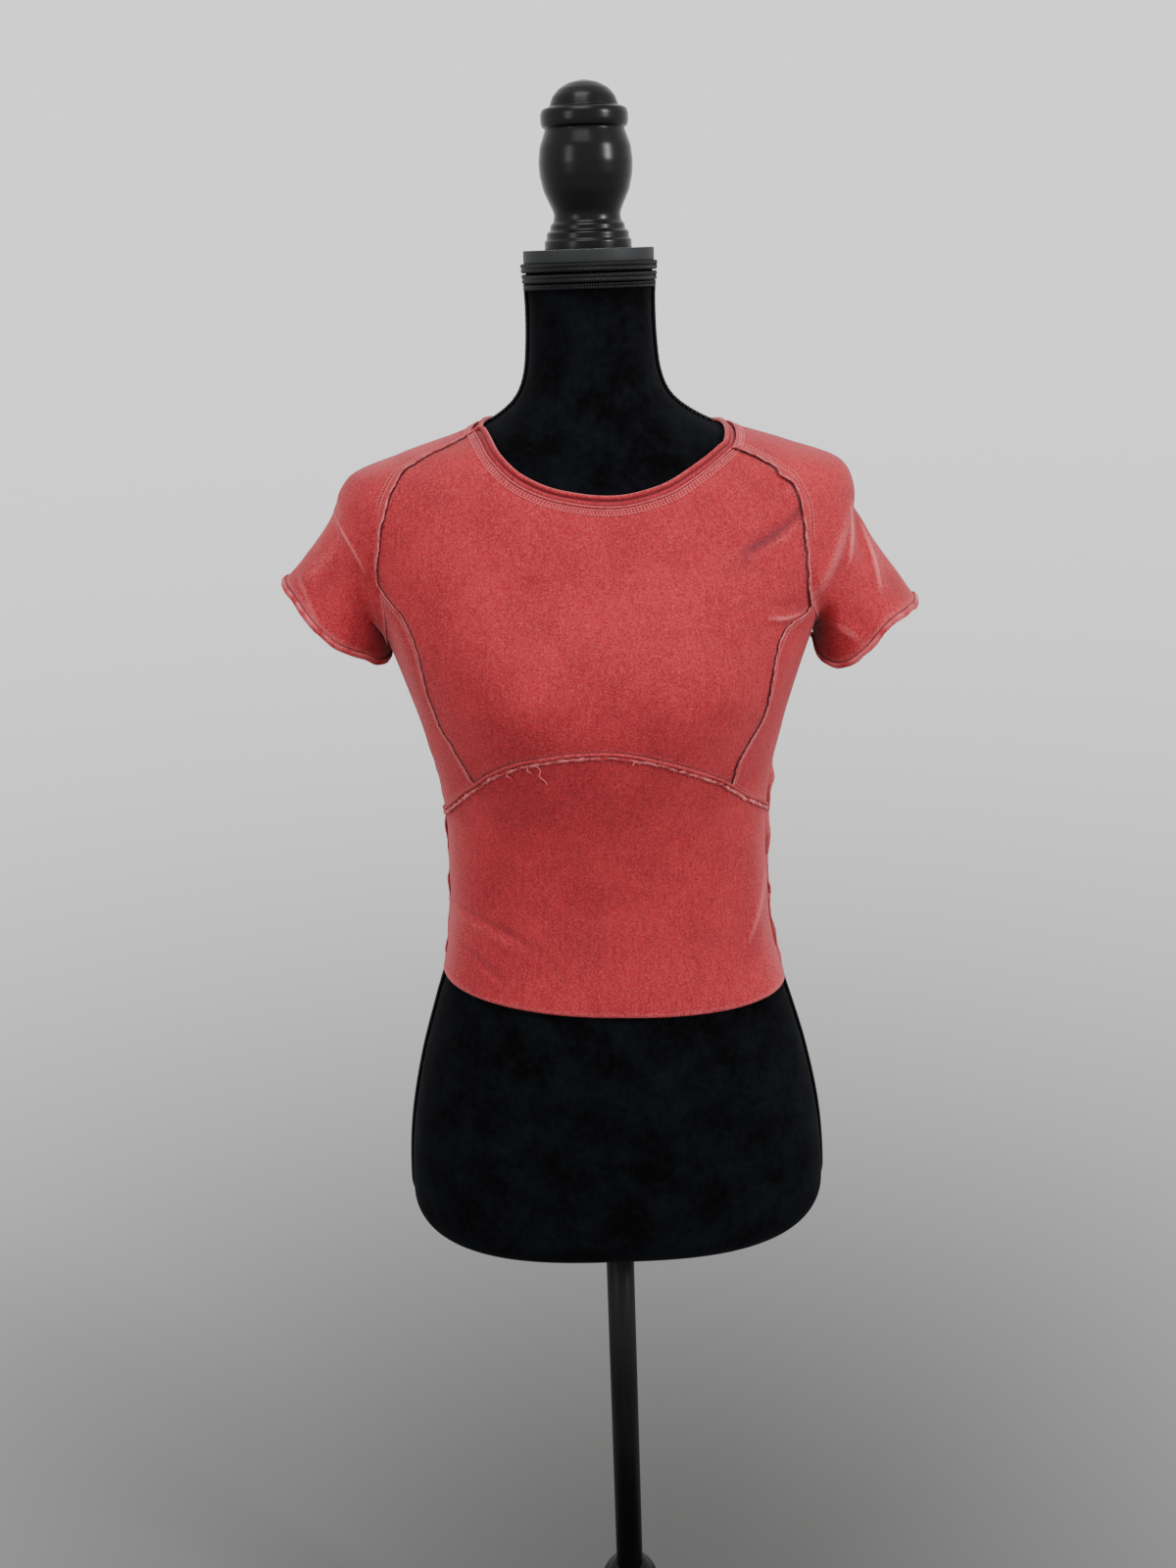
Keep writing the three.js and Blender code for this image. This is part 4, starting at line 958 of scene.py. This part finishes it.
def makeRuffle(side):
    draw = np.random.default_rng(51 if side == "left" else 52)
    line = chain(seams["sideHigh", side][4:], seams["sideLow", side][:-1])
    line = dress(evenly(line, ruffleShape["points"]), cloth["outer"] - 0.6)
    ups = normalsAt(line)
    n = len(line)
    _, across, ups = frameOf(line, ups)
    bumps = (high * np.exp(-(((line[:, 2] - z) / wide) ** 2)) for z, wide, high in ruffle[side])
    stand = ruffleShape["stand"][side] + sum(bumps)
    ends = np.minimum(np.arange(n), np.arange(n)[::-1])
    stand = (stand + wander(n, 12, 0.2, draw)) * (0.3 + 0.7 * np.clip(ends / 14, 0, 1))
    sway = wander(n, 16, 1.2, draw) + 0.5 * np.sin(line[:, 2] / 6.5)
    t = np.linspace(0, 1, 9)[:, None]
    out = stand[None] * t
    aside = sway[None] * t**1.6 + 0.9 * np.sin(t * 2.2) * np.sign(sway)[None] * t
    sheet = line[None] + ups[None] * out[..., None] + across[None] * aside[..., None]
    marks = {"wear": np.broadcast_to(0.2 + 0.7 * t, out.shape)}
    thick = ruffleShape["thick"]
    piece = makeShell(f"side_seam_{side}_ruffle", sheet, gridNormals(sheet), thick, edgeJersey, marks=marks)
    finish(piece, f"side_seam_{side}", "rolled_edge")
    bundle = Bundle()
    addFibres(bundle, sheet[-1], ups, ruffleShape["fibres"], 1.4, draw, spread=0.4)
    finish(bundle.make(f"side_seam_{side}_fray", threadJersey), None, "rolled_edge")


for side in sides:
    makeRuffle(side)
print("side seams ruffled")

# A curled raw edge: along the sleeve from its end, height over the cloth, how much it waves, wear
curl = np.array([
    (-2.6, -0.9, 0.3, 0.2), (-2.7, 0.2, 0.4, 0.3), (-2.9, 1.3, 0.6, 0.9), (-2.3, 2.0, 0.8, 1.0),
    (-1.0, 2.2, 1.0, 0.7), (0.6, 2.0, 1.0, 0.6), (1.8, 1.3, 1.0, 0.8), (2.3, 0.2, 1.0, 1.0),
    (1.9, -0.9, 1.0, 0.6), (0.6, -1.5, 0.8, 0.2), (-1.2, -1.4, 0.4, 0.0),
], float)
hemShape = {"size": 0.85, "wave": {"left": 0.6, "right": 1.0}, "fibres": 170}


def makeSleeveHem(side):
    _, grid, normals = sleeves[side]
    draw = np.random.default_rng(61 if side == "left" else 62)
    last, before = grid[-1][:-1], grid[-7][:-1]
    along = unit(last - before)
    ups = normals[-1][:-1]
    n = len(last)
    dense = smoothLine(last + along * 2.0, 2 * n - 1, ring=True)[:-1]
    upsDense = unit(smoothLine(ups + np.arange(n)[:, None] * 1e-9, 2 * n - 1, ring=True)[:-1])
    place = np.linspace(0, 2 * np.pi, len(dense), endpoint=False)
    wave = 0.35 * np.sin(place * 9) + 0.2 * np.sin(place * 17)
    wave = wave + wander(len(dense), 8, 0.12, draw) * np.sin(place / 2)
    out = sideOf(dense, upsDense, dense.mean(0) + unit(along.mean(0)) * 200)
    section = curl[:, :3] * np.array([out * hemShape["size"], hemShape["size"], 1.0])
    ripples = np.stack([wave + wander(len(dense), 2, 0.10, draw) * np.sin(place / 2), wave[::-1] * 0.5], -1)
    rubbed = np.clip(0.62 + wander(len(dense), 5, 0.28, draw), 0.1, 1.3)
    bundle = Bundle()
    points, faces = sweep(dense, upsDense, section, True, ripples * hemShape["wave"][side])
    bundle.add(points, faces, (curl[:, 3][:, None] * rubbed[None]).ravel())
    finish(bundle.make(f"sleeve_hem_{side}_roll", edgeJersey), f"sleeve_hem_{side}", "rolled_edge")
    fray = Bundle()
    edge = dense + unit(np.repeat(along, 2, 0)[: len(dense)]) * 1.8
    addFibres(fray, edge, upsDense, hemShape["fibres"], 1.3, draw)
    finish(fray.make(f"sleeve_hem_{side}_fray", threadJersey), None, "rolled_edge")


for side in sides:
    makeSleeveHem(side)
print("sleeve hems rolled")

# Neckband: distance inward from the seam and height over the form
bandSection = np.array([
    # inward, height, wear, shade
    (0.6, 1.3, 0.0, 0.8), (0.2, 1.9, 0.0, 1.0), (0.7, 2.5, 0.0, 0.7), (2.2, 2.8, 0.0, 0.15),
    (3.5, 2.6, 0.0, 0.3), (4.1, 1.9, 0.0, 0.8), (4.4, 1.9, 0.0, 1.0), (4.7, 3.0, 0.0, 0.4),
    (5.3, 4.3, 0.05, 0.0), (6.2, 4.8, 0.1, 0.0), (7.1, 4.5, 0.15, 0.0), (7.6, 3.9, 0.9, 0.0),
    (8.0, 2.9, 1.4, 0.0), (7.4, 1.7, 0.3, 0.2), (4.0, 1.0, 0.0, 0.5),
], float)


def neckRing():
    right, left = sleeves["right"][1][0], sleeves["left"][1][0]
    front, back = seams["neckFront"], seams["neckBack"][::-1]
    return np.concatenate([front[:-1], right[:-1], back[:-1], left[::-1][:-1]])


def makeNeckband():
    ring = smoothLine(neckRing()[::4], 520, ring=True)[:-1]
    ring = settle(ring, cloth["outer"])
    normals = normalsAt(ring)
    _, across, _ = frameOf(ring, normals, True)
    inward = across * (1 if (across * (np.array([5, 0, 1080]) - ring)).sum() > 0 else -1)
    grid = np.stack([settle(ring + inward * side, np.full(len(ring), high))
                     for side, high in bandSection[:, :2]])
    rows, columns = grid.shape[:2]
    order = np.arange(rows * columns).reshape(rows, columns)
    faces = np.concatenate([gridQuads(rows, columns, True), bridge(order[-1], order[0], True)])
    marks = {k: np.repeat(bandSection[:, c], columns) for k, c in (("wear", 2), ("shade", 3))}
    piece = finish(makeMesh("neckband_cloth", grid, faces, jersey, marks), "neckband", "jersey")
    bodice = settle(ring - inward * 0.3, cloth["outer"] + 0.35)  # the bodice's folded edge over the band
    bundle = Bundle()
    bundle.add(*sweep(bodice, normalsAt(bodice), oval(1.5, 1.4, 10), True), 0.35)
    finish(bundle.make("neck_fold", edgeJersey), None, "rolled_edge")
    stitched = Bundle()
    for side in (2.2, 5.6):
        row = dress(ring - inward * side, cloth["outer"] + 0.2)
        addStitches(stitched, row, normalsAt(row), 2.3, 1.9, 0.6, 0.45)
    middle = dress(ring - inward * 3.9, cloth["outer"] + 0.08)
    addStitches(stitched, middle, normalsAt(middle), 2.3, 0.5, 2.4, 0.22)
    finish(stitched.make("neck_stitching", threadJersey), None, "rolled_edge")


makeNeckband()
print("neckband sewn on")


# Dress form
formShape = {"top": 1170.7, "bottom": 433, "edge": 30, "rows": 170, "edgeRows": 16, "columns": 144}


def makeForm():
    edge, low = formShape["edge"], formShape["bottom"] + formShape["edge"]
    rows, edgeRows = formShape["rows"], formShape["edgeRows"]
    levels = np.concatenate([np.linspace(formShape["top"], low, rows), np.full(edgeRows, low)])
    bend = np.concatenate([np.zeros(rows), np.linspace(0, np.pi / 2, edgeRows + 1)[1:]])
    turn = np.linspace(0, 360, formShape["columns"], endpoint=False)
    grid = formPoint(turn[None], levels[:, None])
    flat = unit(grid * np.array([1, 1, 0.0]))
    grid = grid - flat * (edge * (1 - np.cos(bend)))[:, None, None]
    grid[..., 2] -= (edge * np.sin(bend))[:, None]
    rows, columns = grid.shape[:2]
    faces = gridQuads(rows, columns, True).tolist()
    faces += [list(range(columns))[::-1], list(range((rows - 1) * columns, rows * columns))]
    finish(makeMesh("form_velour", grid, faces, velour), "dress_form", "velour")


def turned(name, profile, material, slot, node, segments=96):  # the profile is radius and height
    profile = np.array(profile, float)
    angle = np.linspace(0, 2 * np.pi, segments, endpoint=False)
    radius, height = profile[:, :1], profile[:, 1:]
    grid = np.stack([radius * np.cos(angle), radius * np.sin(angle), height + 0 * angle], -1)
    rows, columns = grid.shape[:2]
    faces = gridQuads(rows, columns, True).tolist()
    faces += [list(range(columns))[::-1], list(range((rows - 1) * columns, rows * columns))]
    return finish(makeMesh(name, grid, faces, material), node, slot)


def rounded(points, radius=0.8, steps=4):  # an outline with its corners rounded
    points = np.array(points, float)
    out = [points[0]]
    for before, corner, after in zip(points[:-2], points[1:-1], points[2:]):
        a, b = before - corner, after - corner
        reach = min(radius, 0.45 * np.linalg.norm(a), 0.45 * np.linalg.norm(b))
        start, end = corner + unit(a) * reach, corner + unit(b) * reach
        for t in np.linspace(0, 1, steps + 1):
            out.append(start * (1 - t) ** 2 + 2 * corner * t * (1 - t) + end * t**2)
    return np.array([*out, points[-1]])


def makeHardware():
    plate = rounded([(2, 1171.3), (45, 1171.3), (45, 1180), (2, 1180)], 0.9)
    turned("plate", plate, satin, "satin", "neck_plate")
    finial = rounded([(2, 1180.03), (29.9, 1180.03), (29.9, 1180.8), (29.9, 1185.4), (28.3, 1186.8),
                      (28.3, 1191),
                      (25.6, 1192.4), (25.6, 1195.8), (23.2, 1198), (22.6, 1203), (25, 1208.5),
                      (29.2, 1217.5), (31.4, 1227), (32, 1236), (30.8, 1246), (27.6, 1254.4),
                      (26.8, 1257), (28.8, 1258.2), (29.6, 1261), (29.6, 1266.4), (28.4, 1269.4),
                      (25, 1270.6), (23.4, 1270.9), (23, 1272.2),
                      (21.2, 1277.2), (16.8, 1282), (10.4, 1285.6), (2, 1287.4)], 2.2, 4)
    turned("finial_wood", finial, lacquer, "lacquer", "finial")
    turned("pole_tube", [(11.5, 68.3), (11.5, 432.7)], poleMetal, "pole_metal", "pole", 64)
    f = floorLevel
    hub = rounded([(2, f + 22.3), (36, f + 22.3), (36, f + 28), (30, f + 38), (22, f + 52), (16, f + 70),
                   (13.5, f + 100),
                   (14, f + 126), (18, f + 142), (23.5, f + 156), (26, f + 170), (25.5, f + 180),
                   (22.5, f + 188),
                   (18.5, f + 194), (13, f + 198), (2, f + 198)], 4, 5)
    turned("hub_wood", hub, lacquer, "lacquer", "pole_collar")
    foot = rounded([(2, f), (161, f), (165, f + 4), (165, f + 10), (159, f + 15), (125, f + 20),
                    (90, f + 22),
                    (2, f + 22)], 4, 5)
    turned("foot_wood", foot, lacquer, "lacquer", "foot", 128)


# Gimp braid: strands that cross over and under each other on a flat heading
def plait(bundle, line, ups, width, thick, strands, pitch, ring=False, lift=0.0):
    total = np.linalg.norm(np.diff(line, axis=0), axis=1).sum()
    turns = max(1, round(total / pitch))
    t = np.linspace(0, 2 * np.pi * turns, len(line), endpoint=not ring)
    _, across, up = frameOf(line, ups, ring)
    for k in range(strands):
        phase = 2 * np.pi * k / strands
        side = width / 2 * np.sin(t + phase)
        over = thick * 0.45 * np.sin(2 * (t + phase))
        path = line + across * side[:, None] + up * (lift + over)[:, None]
        bundle.add(*sweep(path, up, oval(thick, thick * 0.85, 6), ring))


neckGimp = {"points": 800, "rows": [
    # height, width, thickness, strands, pitch, lift
    (1156.3, 2.8, 1.7, 2, 3.8, 0.6), (1161.6, 4.6, 1.8, 3, 4.6, 0.9), (1168.5, 4.6, 1.8, 3, 4.6, 0.9),
]}
sideGimp = {"width": 3.2, "thick": 2.0, "strands": 3, "pitch": 6.4, "lift": 0.8, "pointsToMm": 1.9}
sideCords = [
    # name, top and low end on each side
    ("neck_cord", {"left": 1156, "right": 1156}, {"left": 1066, "right": 1061}),
    ("hip_cord", {side: hemZ[side] - 2 for side in sides}, {"left": 440, "right": 440}),
]


def makeBraids():
    neck = Bundle()
    turn = np.linspace(0, 360, neckGimp["points"], endpoint=False)
    for z, width, thick, strands, pitch, lift in neckGimp["rows"]:
        line = formPoint(turn, np.full(len(turn), z), 1.0)
        plait(neck, line, normalsAt(line), width, thick, strands, pitch, True, lift)
    finish(neck.make("neck_gimp", braid), "neck_braid", "braid")
    for side, away in (("left", -1), ("right", 1)):
        for node, tops, lows in sideCords:
            top, low = tops[side], lows[side]
            z = np.linspace(top, low, int((top - low) * sideGimp["pointsToMm"]))
            half = hermite(formRows[:, 0], formRows[:, 1:2], z)[:, 0]
            start = np.stack([away * half, np.zeros_like(z), z], -1)
            edge = formShape["edge"]
            rim = np.clip(1 - (z - formShape["bottom"]) / edge, 0, 1)
            start[:, 0] -= away * edge * (1 - np.sqrt(1 - rim**2)) * (z < formShape["bottom"] + edge)
            line = start + np.stack([away * np.ones_like(z), 0 * z, 0 * z], -1) * 0.5
            cord, g = Bundle(), sideGimp
            plait(cord, line, normalsAt(line), g["width"], g["thick"], g["strands"], g["pitch"],
                  lift=g["lift"])
            finish(cord.make(f"{node}_{side}_gimp", braid), f"{node}_{side}", "braid")


makeForm()
makeHardware()
makeBraids()
print("form dressed")


# Studio: painted shade on the floor, darker round the foot and lighter with the distance in metres
studio = {"near": (0.08, 0.08, 0.079), "far": (1.0, 1.0, 0.995), "reach": 5.0,
          "sky": 0.87, "skyStrength": 1.5}
lamps = [
    # name, place, aim, width, height, watts
    ("keyLamp", (1.75, -1.15, 1.95), (0, 0, 1.15), 0.34, 0.62, 46),
    ("fillLamp", (-1.35, -1.5, 1.75), (0, 0, 1.15), 0.50, 0.80, 11),
    ("topLamp", (-0.2, -0.9, 3.1), (0, 0, 1.15), 1.2, 1.2, 38),
]


def axesAt(x, y, z, at):  # three axes and a place, as Blender takes them
    return Matrix([[x[k], y[k], z[k], at[k]] for k in range(3)] + [[0, 0, 0, 1]])


def makeStudio():
    look = Finish("floorPaintedShade", {"Roughness": 0.9, "Specular IOR Level": 0.1})
    far = look.node("ShaderNodeVectorMath", {"operation": "LENGTH"}, {0: look.place}, 1)
    share = far * far / (far * far + studio["reach"])
    look.use("Base Color", look.mix(share, studio["near"], studio["far"]))
    angle = np.linspace(0, 2 * np.pi, 64, endpoint=False)
    ring = np.stack([90000 * np.cos(angle), 90000 * np.sin(angle), 0 * angle + floorLevel - 0.5], -1)
    makeMesh("floor", ring, [list(range(64))], look.material)
    world = bpy.data.worlds.new("studio")
    bpy.context.scene.world = world
    world.use_nodes = True
    sky = world.node_tree.nodes["Background"].inputs
    sky["Color"].default_value = (studio["sky"],) * 3 + (1,)
    sky["Strength"].default_value = studio["skyStrength"]
    for name, place, aim, wide, tall, watts in lamps:
        lamp = bpy.data.lights.new(name, "AREA")
        lamp.shape, lamp.size, lamp.size_y, lamp.energy = "RECTANGLE", wide, tall, watts
        holder = bpy.data.objects.new(name, lamp)
        bpy.context.scene.collection.objects.link(holder)
        away = np.array(place, float) - np.array(aim, float)
        z = unit(away)
        x = unit(np.cross([0, 0, 1.0], z))
        y = np.cross(z, x)
        holder.matrix_world = axesAt(x, y, z, place)


view = {"place": (-0.013, -1.2, 1.310), "down": 17.8, "roll": 2.0, "lens": 38.25}


def makeCamera():
    down, roll = math.radians(view["down"]), math.radians(view["roll"])
    right, up = np.array([1.0, 0, 0]), np.array([0, math.sin(down), math.cos(down)])
    ahead = np.array([0, math.cos(down), -math.sin(down)])
    x = right * math.cos(roll) - up * math.sin(roll)
    y = right * math.sin(roll) + up * math.cos(roll)
    lens = bpy.data.cameras.new("camera")
    lens.lens, lens.sensor_width, lens.sensor_fit = view["lens"], 36, "AUTO"
    camera = bpy.data.objects.new("camera", lens)
    bpy.context.scene.collection.objects.link(camera)
    camera.matrix_world = axesAt(x, y, -ahead, view["place"])
    bpy.context.scene.camera = camera


makeStudio()
makeCamera()
print("studio lit")
